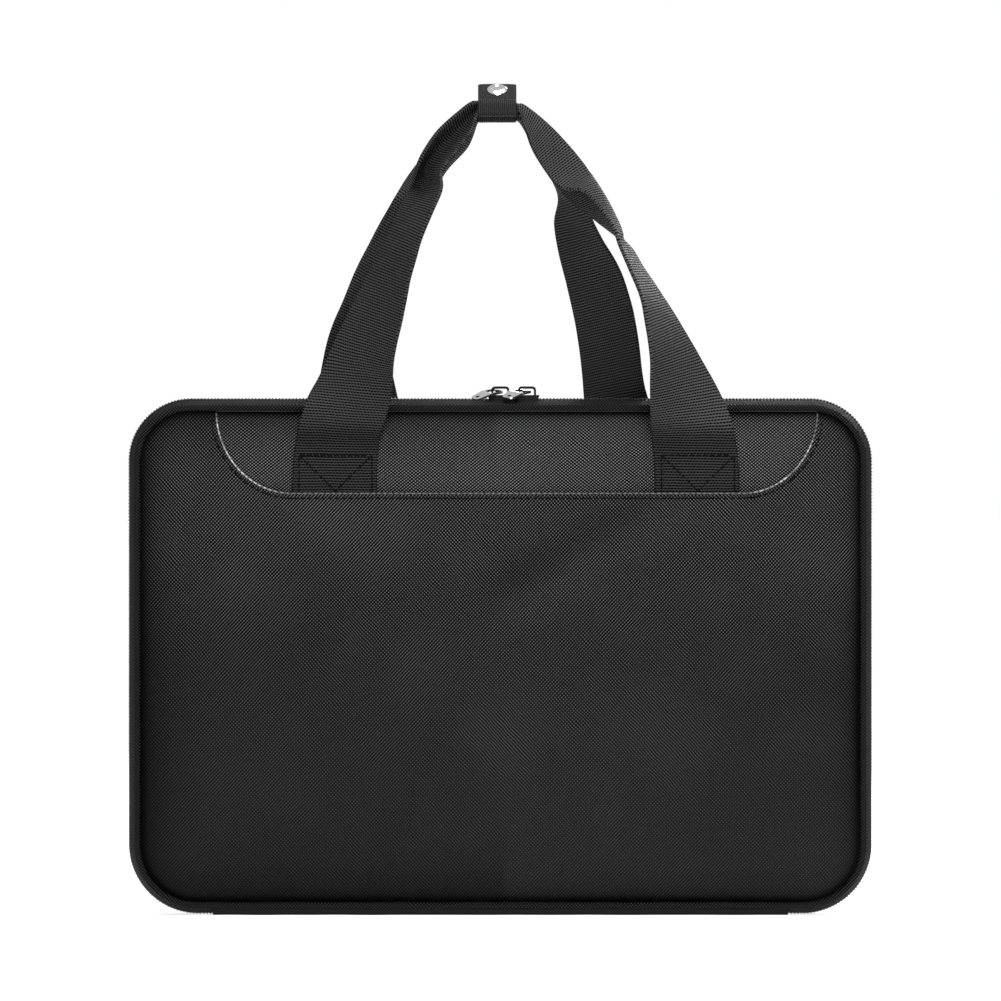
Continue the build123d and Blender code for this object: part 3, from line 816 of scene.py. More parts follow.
def overlayDepth(x, z, side, folds, seed):
    boxes = frontStrapBoxes if side < 0 else rearStrapBoxes
    inside = distanceInside(x, z, panelInset)
    stand = overlay["stand"] + overlay["overStrap"] * strapBelow(x, z, boxes)
    loose = 1 - overlay["held"] * strapBelow(x, z, boxes)
    rest = clothUnrest(x, z, seed) * loose
    depth = panelBack + padRise(x, z) + stand * ease(inside / overlay["standFrom"]) + rest
    fromEdge = edgeDistance(x if side < 0 else -x, z)
    dip = overlay["seamDip"] * math.exp(-((fromEdge - overlay["seamFrom"]) / overlay["seamWidth"]) ** 2)
    return depth + loose * sum(softRidge(x, z, *fold) for fold in folds) - dip


def makeOverlay(side, folds, seed):
    # the panel over the lower part of a cover, with its scooped top edge
    inset = panelInset - 0.1 * mm
    flip = 1 if side < 0 else -1
    scoops = sorted((flip * overlay["scoopLeft"], flip * overlay["scoopRight"]))
    columns = coverColumns(inset, scoops)
    baseAt, outerTop = edgesAt(inset)

    def topAt(x):
        edge = yokeEdge(flip * x)
        return outerTop(x) if edge is None else min(edge, outerTop(x))

    name = "frontPocketPanel" if side < 0 else "rearOverlay"
    piece = faceGrid(name, columns, baseAt, topAt, lambda x, z: overlayDepth(x, z, side, folds, seed), side,
                     cloth["panel"], thickness=overlay["thickness"])
    cut = (columns[-1] - columns[0], outerTop(0) - baseAt(0))
    return piece, cut, flatArea(columns, baseAt, topAt)


def yokeLine(side, inset=0.0, step=2 * mm):
    # the overlay's top edge as points, from one end to the other
    left, right = overlay["scoopLeft"], overlay["scoopRight"]
    a, b = overlay["cornerX"] + inset, overlay["cornerZ"] + inset
    low = overlay["edgeZ"] - inset
    flip = 1 if side < 0 else -1
    points = []
    turns = overlay["turns"]
    for i in range(turns):
        angle = math.pi / 2 * i / turns
        points.append((left - inset + a * (1 - math.cos(angle)), low + b * (1 - math.sin(angle))))
    count = int((right - left - 2 * overlay["cornerX"]) / step)
    start, end = left + overlay["cornerX"], right - overlay["cornerX"]
    points += [(mixed(start, end, i / count), low) for i in range(count + 1)]
    for i in range(1, turns + 1):
        angle = math.pi / 2 * i / turns
        points.append((end + a * math.sin(angle), low + b * (1 - math.cos(angle))))
    return [(flip * x, z) for x, z in points]


def tubeAlong(name, points, radius, material, sides):
    # a round tube through 3D points, with closed ends
    vertices, uvs = [], []
    run = 0.0
    for i, point in enumerate(points):
        before, after = points[max(i - 1, 0)], points[min(i + 1, len(points) - 1)]
        tangent = (Vector(after) - Vector(before)).normalized()
        side = tangent.cross(Vector((0, 1, 0))).normalized()
        up = side.cross(tangent).normalized()
        run += (Vector(point) - Vector(before)).length if i else 0
        for k in range(sides):
            turn = 2 * math.pi * k / sides
            vertices.append(Vector(point) + side * radius * math.cos(turn) + up * radius * math.sin(turn))
            uvs.append((radius * turn, run))
    return newObject(name, vertices, ringFaces(len(points), sides), material, uvs)


def makeHem(side, folds, seed):
    # the folded edge, pale along the scoops: a paler cut edge with a painted highlight where the fold catches
    # the light
    top = rim["height"] - panelInset
    points, wearAndHighlight = [], []
    for x, z in yokeLine(side):
        if z > top - 0.5 * mm:
            continue
        depth = overlayDepth(x, z - 0.5 * mm, side, folds, seed) - 0.15 * mm
        points.append((x, side * depth, z - 0.2 * mm))
        up = (z - overlay["edgeZ"]) / overlay["cornerZ"]
        patchy = 0.75 + 0.9 * noise.noise(Vector((x * 160, z * 160, seed)))
        dash = ease(0.8 + 1.6 * math.sin(2 * math.pi * (-abs(x) - z) / overlay["dash"]))
        scoopHighlight = ease(up / 0.04) * ease(((0.92 if x * side > 0 else 0.72) - up) / 0.12)
        wearAndHighlight.append(min(mixed(0.07, max(dash, 0.12), scoopHighlight) * min(patchy, 1), 1))
    name = "frontPocketHem" if side < 0 else "rearHem"
    piece = tubeAlong(name, points, overlay["hemRadius"], cloth["hem"], overlay["sides"])
    layer = piece.data.attributes.new("wearAndHighlight", "FLOAT", "POINT")
    layer.data.foreach_set("value", [w for w in wearAndHighlight for _ in range(overlay["sides"])])
    return piece


def setPaintedShade(piece, values):
    # painted light and shade: contrast and brightness of the yarns at each point
    layer = piece.data.attributes.new("paintedShadeAndTone", "FLOAT_VECTOR", "POINT")
    layer.data.foreach_set("vector", [number for pair in values for number in (*pair, 0)])


def addPaintedShade(piece, side, folds):
    # painted light and shade: crisp and light above where the cloth faces the top light, softer and darker
    # below, painted shade where the cloth rolls into the rim, painted light and shade along the folds, with
    # random cloudy tone
    values = []
    for vertex in piece.data.vertices:
        x, z = vertex.co.x * (1 if side < 0 else -1), vertex.co.z
        inside = distanceInside(x, z, panelInset)
        up = min(z / overlay["edgeZ"], 1)
        # painted top light: crisper and brighter higher up
        contrast = paintedShadeAndTone["lowContrast"] + (1 - paintedShadeAndTone["lowContrast"]) * ease(up * 1.1)
        bright = mixed(paintedShadeAndTone["low"], paintedShadeAndTone["high"], ease((up - 0.55) / 0.45))
        reach = paintedShadeAndTone["rollReachLeft"] if x < 0 else paintedShadeAndTone["rollReachRight"]
        reach *= mixed(1, paintedShadeAndTone["upperReach"], ease((up - 0.3) / 0.5))
        # painted shade in the rolled edge, then a painted shadow in the groove beside the piping
        bright *= 1 - paintedShadeAndTone["rollShade"] * math.exp(-inside / reach)
        bright *= ease(inside / paintedShadeAndTone["groove"])
        bright += paintedShadeAndTone["cloud"] * noise.noise(Vector((x * 9, z * 11, 4)))
        # painted light and shade along the folds of the overlay
        if z < overlay["edgeZ"]:
            bright += paintedShadeAndTone["fold"] * sum(softRidge(vertex.co.x, z, *fold) for fold in folds)
        values.append((contrast, bright))
    setPaintedShade(piece, values)


# painted light and shade on the covers: brighter towards the top light, shade in the rolled edges and in the
# groove by the piping; cloud is random tone
paintedShadeAndTone = {
    "low": 0.72,
    "high": 1.1,
    "lowContrast": 0.35,
    "rollReachLeft": 15 * mm,
    "rollReachRight": 6 * mm,
    "rollShade": 0.8,
    "upperReach": 0.75,       # the painted shade of the rolled edge is narrower near the top
    "groove": 3.6 * mm,
    "cloud": 0.15,
    "fold": 130,              # painted light and shade: brightness for each metre of a fold's height
}
for side, folds, seed, body, word in ((-1, frontFolds, 2.0, "front_cover", "front"),
                                      (1, rearFolds, 9.0, "rear_cover", "rear")):
    pad = makePad(side, seed)
    panel, cut, area = makeOverlay(side, folds, seed)
    hem = makeHem(side, folds, seed)
    addPaintedShade(pad, side, folds)
    addPaintedShade(panel, side, folds)
    fit(pad, body, "panel", word + "_panel", word + "_foam")
    layer = "front_pocket" if side < 0 else "rear_overlay"
    fit(panel, body, "overlay", layer + "_panel")
    fit(hem, body, "hem", layer + "_hem")
    print(word, "overlay cut", [round(size, 4) for size in cut], round(area, 5))
print("covers made")


# piping, zip tape, binding and hinge gusset
tape = {
    "thickness": 0.7 * mm,
    "from": 1.0 * mm,
    "top": 0.8 * mm,
    "bow": 0.7 * mm,
    "end": 130 * mm,          # where it stops along the base
    "wobble": 0.08 * mm,
}
piping = {"share": 0.96, "step": 2 * mm, "wobble": 0.12 * mm}
binding = {
    "inset": 1.6 * mm,
    "wobble": 0.15 * mm,
    # corners: inset and depth in millimetres, the depth from the near edge (0) or the far one (1)
    "corners": [(-0.9, 0.2, 0), (0.6, 0, 0), (1.3, 0.8, 0), (1.5, -0.7, 1), (0.9, 0, 1), (-0.5, 0, 1)],
}


def makeRimPieces(side, word):
    body = word + "_cover"
    cord = sweepRim(word + "Piping", roundProfile(seamInset, seamDepth, pipingRadius * piping["share"]),
                    cloth["piping"], side=side, step=piping["step"], wobble=piping["wobble"])
    fit(cord, body, "piping", word + "_piping")
    start = (tape["top"], tape["from"])
    end = (seamInset - 0.1 * mm, seamDepth - pipingRadius * 0.8)
    line = []
    for i in range(7):
        share = i / 6
        bow = tape["bow"] * math.sin(math.pi * share)
        line.append((mixed(start[0], end[0], share) - bow, mixed(start[1], end[1], share)))
    wall = sweepRim(word + "ZipTape", wallProfile(line, tape["thickness"]), cloth["tape"],
                    start=tape["end"], end=rimLength - tape["end"], side=side, wobble=tape["wobble"])
    fit(wall, body, "zip_tape", word + "_zip_tape")
    inner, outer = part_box(word + "_seam_binding")
    low, high = min(abs(inner.y), abs(outer.y)), max(abs(inner.y), abs(outer.y))
    inset = rim["halfWidth"] - outer.x + binding["inset"]
    profile = [(inset + across * mm, (high if far else low) + deep * mm)
               for across, deep, far in binding["corners"]]
    bound = sweepRim(word + "Binding", profile, cloth["elastic"], side=side, wobble=binding["wobble"])
    fit(bound, body, "seam_binding", word + "_seam_binding")


gusset = {
    "beyond": 1.4 * mm,       # past the CAD strip at each end
    "flatTo": 9.5 * mm,
    "rise": 2.6 * mm,         # up to the piping on both sides
    "thickness": 0.9 * mm,
    "crease": 0.45 * mm,
    "creaseWidth": 1.2 * mm,
    "wave": 0.12 * mm,
    "turnOver": 2.5 * mm,     # the fold turns between these depths
}


def makeGusset():
    # one strip of cloth under the case, folding at the mid-plane
    depth = max(abs(gussetLow.y), abs(gussetHigh.y))
    half, rise = gussetHigh.x + gusset["beyond"], gusset["rise"]
    columns, rows = 88, 20
    vertices, uvs = [], []
    for lift in (0, gusset["thickness"]):
        for i in range(columns + 1):
            x = mixed(-half, half, i / columns)
            for j in range(rows + 1):
                y = mixed(-depth, depth, j / rows)
                up = rise * ease((abs(y) - gusset["flatTo"]) / (depth - gusset["flatTo"]))
                crease = gusset["crease"] * math.exp(-(y / gusset["creaseWidth"]) ** 2)
                wave = gusset["wave"] * (1 + noise.noise(Vector((x * 60, y * 120, 5))))
                vertices.append((x, y, up + crease + wave + lift))
                uvs.append((x, y))
    piece = newObject("hingeGusset", vertices, slabFaces(columns + 1, rows + 1), cloth["tape"], uvs)
    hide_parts("front_hinge_gusset", "rear_hinge_gusset")
    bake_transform(piece)


for side, word in ((-1, "front"), (1, "rear")):
    makeRimPieces(side, word)
makeGusset()
print("rim made")


# geometry nodes: one piece repeated at every point of a path
def buildRepeat():
    group = bpy.data.node_groups.new("repeatAlongPath", "GeometryNodeTree")
    group.is_modifier = True
    for label, kind in (("Geometry", "Geometry"), ("Piece", "Object"), ("Material", "Material"),
                        ("Smallest", "Float"), ("Largest", "Float"), ("Seed", "Int")):
        group.interface.new_socket(name=label, in_out="INPUT", socket_type="NodeSocket" + kind)
    group.interface.new_socket(name="Geometry", in_out="OUTPUT", socket_type="NodeSocketGeometry")
    given = group.nodes.new("NodeGroupInput")
    made = group.nodes.new("NodeGroupOutput")
    source = group.nodes.new("GeometryNodeObjectInfo")
    points = group.nodes.new("GeometryNodeMeshToPoints")
    place = group.nodes.new("GeometryNodeInstanceOnPoints")
    size = group.nodes.new("FunctionNodeRandomValue")
    real = group.nodes.new("GeometryNodeRealizeInstances")
    paint = group.nodes.new("GeometryNodeSetMaterial")
    vectors = []
    for label in ("run", "outward"):
        node = group.nodes.new("GeometryNodeInputNamedAttribute")
        node.data_type = "FLOAT_VECTOR"
        node.inputs["Name"].default_value = label
        vectors.append(node.outputs["Attribute"])
    along = group.nodes.new("FunctionNodeAlignRotationToVector")
    along.axis = "X"
    out = group.nodes.new("FunctionNodeAlignRotationToVector")
    out.axis = "Z"
    out.pivot_axis = "X"
    for start, end in (
        (vectors[0], along.inputs["Vector"]),
        (along.outputs["Rotation"], out.inputs["Rotation"]),
        (vectors[1], out.inputs["Vector"]),
        (given.outputs["Geometry"], points.inputs["Mesh"]),
        (points.outputs["Points"], place.inputs["Points"]),
        (given.outputs["Piece"], source.inputs["Object"]),
        (source.outputs["Geometry"], place.inputs["Instance"]),
        (out.outputs["Rotation"], place.inputs["Rotation"]),
        (given.outputs["Smallest"], size.inputs[2]),
        (given.outputs["Largest"], size.inputs[3]),
        (given.outputs["Seed"], size.inputs["Seed"]),
        (size.outputs[1], place.inputs["Scale"]),
        (place.outputs["Instances"], real.inputs["Geometry"]),
        (real.outputs["Geometry"], paint.inputs["Geometry"]),
        (given.outputs["Material"], paint.inputs["Material"]),
        (paint.outputs["Geometry"], made.inputs["Geometry"]),
    ):
        group.links.new(start, end)
    return group


repeatGroup = buildRepeat()


def repeatPiece(name, source, material, spots, spread, seed):
    # spots: place, run and outward vector for each copy of source
    mesh = bpy.data.meshes.new(name)
    mesh.from_pydata([tuple(spot[0]) for spot in spots], [], [])
    for k, label in ((1, "run"), (2, "outward")):
        layer = mesh.attributes.new(label, "FLOAT_VECTOR", "POINT")
        layer.data.foreach_set("vector", [c for spot in spots for c in spot[k]])
    piece = bpy.data.objects.new(name, mesh)
    scene.collection.objects.link(piece)
    modifier = piece.modifiers.new("repeat", "NODES")
    modifier.node_group = repeatGroup
    values = {"Piece": source, "Material": material, "Seed": seed}
    values.update({"Smallest": 1 - spread, "Largest": 1 + spread})
    for item in repeatGroup.interface.items_tree:
        if item.in_out == "INPUT" and item.name in values:
            modifier[item.identifier] = values[item.name]
    return bake(piece)


def capsule(name, length, width, height, sides=8):
    # a rounded rod along X, the source of teeth and stitches
    stations = [(-1.0, 0.35)] + [(-r, 1) for r in (0.75, 0.3)] + [(r, 1) for r in (0.3, 0.75)] + [(1.0, 0.35)]
    vertices = []
    for along, swell in stations:
        for k in range(sides):
            turn = 2 * math.pi * k / sides
            y, z = swell * width / 2 * math.cos(turn), swell * height / 2 * math.sin(turn)
            vertices.append((along * length / 2, y, z))
    return newObject(name, vertices, ringFaces(len(stations), sides), metal["nylon"])


# zip teeth
teeth = {"pitch": 1.55 * mm, "length": 4.2 * mm, "width": 0.86 * mm, "height": 1.4 * mm, "reach": 0.7 * mm,
         "sink": 0.03 * mm, "rearDrop": 0.35 * mm}


def toothSource():
    # a coil's turn lies across the run: thick at the head, thin where it is sewn down
    source = capsule("toothSource", teeth["length"], teeth["height"], teeth["width"])
    for vertex in source.data.vertices:
        head = 0.5 - vertex.co.x / teeth["length"]
        vertex.co.y *= 0.72 + 0.28 * head
    return source


def makeTeeth(side, word):
    source = toothSource()
    spots = []
    shift = 0 if side < 0 else teeth["pitch"] / 2
    count = int((rimLength - 2 * tape["end"]) / teeth["pitch"])
    centre = teeth["length"] / 2 - teeth["reach"]
    for i in range(count):
        distance = tape["end"] + shift + i * teeth["pitch"]
        ox, oz = rimAt(distance)[1]
        inset = teeth["height"] / 2 + teeth["sink"] + (teeth["rearDrop"] if side > 0 else 0)
        place = rimPoint(distance, inset, side * centre)
        spots.append((place, (0, side, 0), (-oz, 0, ox)))
    piece = repeatPiece(word + "ZipTeeth", source, metal["nylon"], spots, spread=0.02, seed=3)
    bpy.data.objects.remove(source)
    smoothByAngle(piece, 60)
    fit(piece, word + "_cover", "zip_coil", word + "_zip_coil")


for side, word in ((-1, "front"), (1, "rear")):
    makeTeeth(side, word)
print("teeth made")


# webbing handles
webbing = {
    "width": 38 * mm,
    "thickness": 1.6 * mm,
    "across": 18,
    "step": 2.2 * mm,
    "clear": 1.6 * mm,       # least distance of a handle from the mid-plane
    "lift": 0.4 * mm,        # above the pad where it is sewn down
    "wave": 0.22 * mm,
    "edge": 0.45 * mm,       # the selvedge's bulge
    "sewnTo": 213 * mm,
    "sewnFade": 14 * mm,
    "creaseUp": 6 * mm,      # the painted shadow of the crease above the sewn end
    "creaseWidth": 5 * mm,
    "creaseShade": 0.4,
    # painted shade on the webbing: the sewn ends darker with stronger ribs, the left leg darker than the
    # right
    "sewnPaintedShade": 0.24,
    "contrast": 1.5,
    "sewnContrast": 4.0,
    "leftPaintedShade": 0.67,
    "rightPaintedShade": 1.0,
}
flat = (-1, 0, 1)
channel = (1, -1, 1)
folded = (-1, 0, 1)

# a station: outer edge (x, z), inner edge (x, z), middle or None, depth or None where it lies on the pad,
# how outer edge, middle and inner edge lean in depth, and the width of webbing across the section
frontLeftLeg = [
    ((-94.2, 175.5), (-56.2, 175.5), None, None, flat, 37.6),
    ((-94.4, 194.7), (-56.6, 194.7), None, None, flat, 37.6),
    ((-93.8, 208.0), (-56.2, 207.5), None, None, flat, 37.3),
    ((-92.6, 217.5), (-55.4, 216.5), None, 17.3, flat, 37.0),
    ((-90.9, 225.5), (-53.6, 223.0), None, 19.6, flat, 37.2),
    ((-87.2, 236.6), (-50.4, 234.0), None, 21.4, flat, 37.4),
    ((-82.2, 246.2), (-49.2, 243.5), None, 21.6, flat, 38),
    ((-74.7, 262.9), (-48.4, 254.5), None, 20.6, flat, 38),
    ((-66.0, 281.0), (-44.5, 272.5), None, 18.9, flat, 38),
    ((-57.0, 299.5), (-40.5, 292.3), None, 18.2, flat, 38),
    ((-48.0, 318.5), (-34.5, 312.0), None, 17.0, flat, 37),
    ((-40.5, 333.8), (-27.0, 330.0), None, 13.5, (-0.6, -0.5, 1), 35),
    ((-36.0, 346.0), (-26.6, 339.5), (-34.0, 341.0), 10.0, channel, 32),
    ((-27.8, 358.4), (-18.5, 350.8), (-25.4, 353.6), 7.2, channel, 26),
    ((-18.6, 366.8), (-12.8, 358.8), (-16.6, 362.0), 5.6, channel, 21),
    ((-12.0, 371.4), (-10.6, 365.8), (-11.4, 368.4), 4.6, channel, 13),
    ((-7.0, 370.8), (-7.0, 367.0), None, 4.45, flat, 4.6),
]
frontRightLeg = [
    ((108.9, 175.5), (70.9, 175.5), None, None, flat, 37.6),
    ((108.7, 194.2), (70.7, 194.2), None, None, flat, 37.6),
    ((108.2, 207.5), (70.2, 208.0), None, None, flat, 37.6),
    ((107.0, 216.5), (69.4, 217.0), None, 17.3, flat, 37.2),
    ((105.0, 226.0), (68.6, 224.0), None, 19.6, flat, 36.8),
    ((100.6, 237.0), (68.4, 232.0), None, 21.4, flat, 37.5),
    ((93.6, 250.0), (68.4, 243.0), None, 21.6, flat, 38),
    ((86.5, 262.3), (68.3, 255.0), None, 20.4, flat, 38),
    ((80.0, 273.4), (66.5, 268.0), None, 19.2, flat, 38),
    ((73.6, 283.2), (64.0, 281.0), None, 18.6, flat, 38),
    ((65.4, 295.6), (58.6, 294.5), None, 18.4, flat, 38),
    ((58.4, 306.2), (53.8, 305.4), None, 17.6, flat, 38),
    ((46.5, 316.0), (50.4, 314.8), (54.2, 314.0), 15.4, folded, 37),
    ((33.0, 325.8), (38.6, 329.5), (44.8, 331.6), 11.6, folded, 35),
    ((26.3, 332.5), (26.9, 332.9), (38.8, 341.4), 9.2, folded, 32),
    ((15.8, 348.2), (16.0, 348.4), (25.4, 357.4), 6.4, folded, 27),
    ((9.6, 363.4), (9.8, 363.8), (9.6, 370.6), 4.6, folded, 15),
    ((5.0, 367.0), (5.0, 370.8), None, 4.45, flat, 4.6),
]
rearLeftLeg = [
    ((-85.0, 175.5), (-47.0, 175.5), None, None, flat, 37.6),
    ((-85.0, 194.7), (-47.0, 194.7), None, None, flat, 37.6),
    ((-85.0, 208.0), (-47.0, 208.0), None, None, flat, 37.6),
    ((-84.8, 217.0), (-46.9, 216.6), None, 17.3, flat, 37.4),
    ((-84.5, 226.0), (-46.7, 224.5), None, 19.6, flat, 37.4),
    ((-83.9, 238.0), (-47.4, 235.0), None, 21.4, flat, 38),
    ((-79.0, 262.9), (-50.8, 252.5), None, 20.6, flat, 38),
    ((-71.4, 281.5), (-49.0, 272.5), None, 19.0, flat, 38),
    ((-63.4, 299.5), (-45.5, 291.0), None, 18.0, flat, 38),
    ((-47.4, 329.4), (-34.0, 322.0), None, 14.0, (-0.7, -0.4, 1), 35),
    ((-35.4, 347.0), (-26.6, 339.6), (-33.0, 341.6), 9.6, channel, 30),
    ((-22.0, 360.0), (-15.4, 352.0), (-20.0, 355.0), 6.2, channel, 22),
    ((-12.0, 368.0), (-10.8, 363.4), (-11.4, 365.4), 4.6, channel, 13),
    ((-7.0, 367.6), (-7.0, 364.2), None, 4.45, flat, 4.6),
]
rearRightLeg = [
    ((77.0, 175.5), (39.0, 175.5), None, None, flat, 37.6),
    ((77.0, 194.7), (39.0, 194.7), None, None, flat, 37.6),
    ((77.0, 208.0), (39.0, 208.0), None, None, flat, 37.6),
    ((76.4, 216.6), (39.0, 216.4), None, 17.3, flat, 37.0),
    ((73.0, 226.5), (39.2, 223.5), None, 19.6, flat, 35.5),
    ((66.2, 240.0), (39.4, 235.0), None, 21.4, flat, 38),
    ((61.8, 270.5), (36.4, 264.5), None, 20.4, flat, 38),
    ((55.4, 293.0), (31.6, 287.6), None, 18.6, flat, 38),
    ((46.5, 308.5), (27.6, 304.0), None, 17.0, flat, 38),
    ((40.6, 320.5), (25.6, 318.0), None, 14.6, flat, 36),
    ((36.0, 335.0), (26.9, 331.5), None, 11.0, (-1, -0.6, 1), 31),
    ((24.6, 352.6), (17.6, 348.6), (23.0, 350.0), 6.6, channel, 22),
    ((9.6, 368.0), (9.2, 363.4), (9.4, 365.4), 4.6, channel, 13),
    ((5.0, 367.6), (5.0, 364.2), None, 4.45, flat, 4.6),
]


def padFace(x, z):
    return panelBack + padRise(x, z) + webbing["lift"] + webbing["thickness"] / 2


def catmull(before, start, end, after, t):
    return 0.5 * (2 * start + (end - before) * t + (2 * before - 5 * start + 4 * end - after) * t ** 2
                  + (3 * start - before - 3 * end + after) * t ** 3)


def readStation(station):
    # as one row of numbers: outer x z, middle x z, inner x z, depth, three leans, width
    outer, inner, middle, depth, leans, width = station
    middle = middle or ((outer[0] + inner[0]) / 2, (outer[1] + inner[1]) / 2)
    if depth is None:
        depth = padFace(middle[0] * mm, middle[1] * mm) / mm
    row = (*outer, *middle, *inner, depth, width)
    return [value * mm for value in row] + list(leans)


def sectionPoints(row, stretch, side):
    ax, az, mx, mz, bx, bz, depth, _, leanA, leanM, leanB = row
    points = []
    for i in range(webbing["across"] + 1):
        t = i / webbing["across"]
        wa, wm, wb = (1 - t) * (1 - 2 * t), 4 * t * (1 - t), t * (2 * t - 1)
        out = depth + stretch * (wa * leanA + wm * leanM + wb * leanB)
        points.append(Vector((wa * ax + wm * mx + wb * bx, side * out, wa * az + wm * mz + wb * bz)))
    return points


def lineLength(points):
    return sum((b - a).length for a, b in zip(points, points[1:]))


def webbingSection(row, side):
    # leans the section in depth until the webbing across it has its full width
    width = row[7]
    still = lineLength(sectionPoints(row, 0, side))
    if still >= width:
        points = sectionPoints(row, 0, side)
        middle = points[len(points) // 2]
        points = [middle + (p - middle) * width / still for p in points]
    else:
        low, high = 0.0, width
        for _ in range(22):
            trial = (low + high) / 2
            if lineLength(sectionPoints(row, trial, side)) < width:
                low = trial
            else:
                high = trial
        points = sectionPoints(row, low, side)
    nearest = min(abs(p.y) if p.y * side > 0 else -abs(p.y) for p in points)
    push = max(webbing["clear"] - nearest, 0)
    points = [p + Vector((0, side * push, 0)) for p in points]
    # even spacing across, so that the ribs stay even
    run = [0.0]
    for a, b in zip(points, points[1:]):
        run.append(run[-1] + (b - a).length)
    even, k = [], 0
    for i in range(webbing["across"] + 1):
        wanted = run[-1] * i / webbing["across"]
        while k < len(run) - 2 and run[k + 1] < wanted:
            k += 1
        share = (wanted - run[k]) / max(run[k + 1] - run[k], 1e-9)
        even.append(points[k].lerp(points[k + 1], min(max(share, 0), 1)))
    return even


def handleRows(leftLeg, rightLeg):
    stations = [readStation(s) for s in leftLeg] + [readStation(s) for s in rightLeg[::-1]]
    rows = []
    for i in range(len(stations) - 1):
        before, start = stations[max(i - 1, 0)], stations[i]
        end, after = stations[i + 1], stations[min(i + 2, len(stations) - 1)]
        gap = math.dist(start[2:4] + start[6:7], end[2:4] + end[6:7])
        count = max(int(gap / webbing["step"]), 2)
        for k in range(count):
            rows.append([catmull(b, s, e, a, k / count) for b, s, e, a in zip(before, start, end, after)])
    rows.append(stations[-1])
    return rows


def makeHandle(name, side, leftLeg, rightLeg, seed):
    sections = [webbingSection(row, side) for row in handleRows(leftLeg, rightLeg)]
    across, count = webbing["across"] + 1, len(sections)
    half = webbing["thickness"] / 2
    vertices, uvs = [], []
    run = 0.0
    for i, section in enumerate(sections):
        before, after = sections[max(i - 1, 0)], sections[min(i + 1, count - 1)]
        if i:
            run += (section[across // 2] - sections[i - 1][across // 2]).length
        normals = []
        for j in range(across):
            wide = section[min(j + 1, across - 1)] - section[max(j - 1, 0)]
            normals.append(wide.cross(after[j] - before[j]).normalized())
        middle = [p + n * webbing["wave"] * noise.noise(Vector((p.x * 90, p.z * 90, seed)))
                  for p, n in zip(section, normals)]
        width = lineLength(section)
        offsets = [width * j / (across - 1) for j in range(across)]
        rim0 = middle[0] + (middle[0] - middle[1]).normalized() * webbing["edge"]
        rim1 = middle[-1] + (middle[-1] - middle[-2]).normalized() * webbing["edge"]
        ring = [p + n * half for p, n in zip(middle, normals)] + [rim1]
        ring += [p - n * half for p, n in zip(middle[::-1], normals[::-1])] + [rim0]
        vertices += ring
        uvs += [(o, run) for o in offsets] + [(width, run)] + [(o, run) for o in offsets[::-1]] + [(0, run)]
    piece = newObject(name, vertices, ringFaces(count, 2 * across + 2), cloth["webbing"], uvs)
    smoothByAngle(piece, 55)
    # painted light and shade: darker sewn ends with stronger ribs, a painted shadow in the crease above them,
    # the left leg darker than the right
    values = []
    for vertex in piece.data.vertices:
        above = vertex.co.z - webbing["sewnTo"]
        sewn = 1 - ease(above / webbing["sewnFade"])
        crease = math.exp(-((above - webbing["creaseUp"]) / webbing["creaseWidth"]) ** 2)
        upper = webbing["leftPaintedShade"] if vertex.co.x < 0 else webbing["rightPaintedShade"]
        bright = mixed(upper, webbing["sewnPaintedShade"], sewn) * (1 - webbing["creaseShade"] * crease)
        values.append((mixed(webbing["contrast"], webbing["sewnContrast"], sewn), bright))
    setPaintedShade(piece, values)
    return piece


for side, word, legs, seed in ((-1, "front", (frontLeftLeg, frontRightLeg), 1.0),
                               (1, "rear", (rearLeftLeg, rearRightLeg), 6.0)):
    handle = makeHandle(word + "Handle", side, *legs, seed)
    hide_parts(word + "_handle_webbing", word + "_strap_end_left", word + "_strap_end_right")
    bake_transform(handle)
print("handles made")


# keepers: a band round each handle and the tab that carries the snap
keeper = {
    "wall": 1.0 * mm,
    "corner": 2.4 * mm,
    "height": 7.8 * mm,
    "depths": (0.3 * mm, 8.6 * mm),       # from the mid-plane
    "columns": 16,
    "edgePull": 0.25 * mm,    # rounds the band's side edges
    "wave": 0.12 * mm,
    "tabLength": 12.6 * mm,
    "tabThickness": 1.0 * mm,
    "tabStart": -0.6 * mm,    # tucked into the band
    "tabCorner": 0.7 * mm,
    "tabFoot": (-0.8 * mm, 372.7 * mm),   # depth and height
    "soften": 0.22 * mm,
    "cup": 0.25 * mm,
    "lean": 54,
    "rearBandDrop": 2.2 * mm,
    "rearTabDrop": 2.6 * mm,
}


def roundedLoop(low, high, corner, count=6):
    # a rounded rectangle as (depth, z) points
    points = []
    for cx, cz, start in ((high[0] - corner, high[1] - corner, 0), (low[0] + corner, high[1] - corner, 1),
                          (low[0] + corner, low[1] + corner, 2), (high[0] - corner, low[1] + corner, 3)):
        for i in range(count + 1):
            turn = math.pi / 2 * (start + i / count)
            points.append((cx + corner * math.cos(turn), cz + corner * math.sin(turn)))
    return points


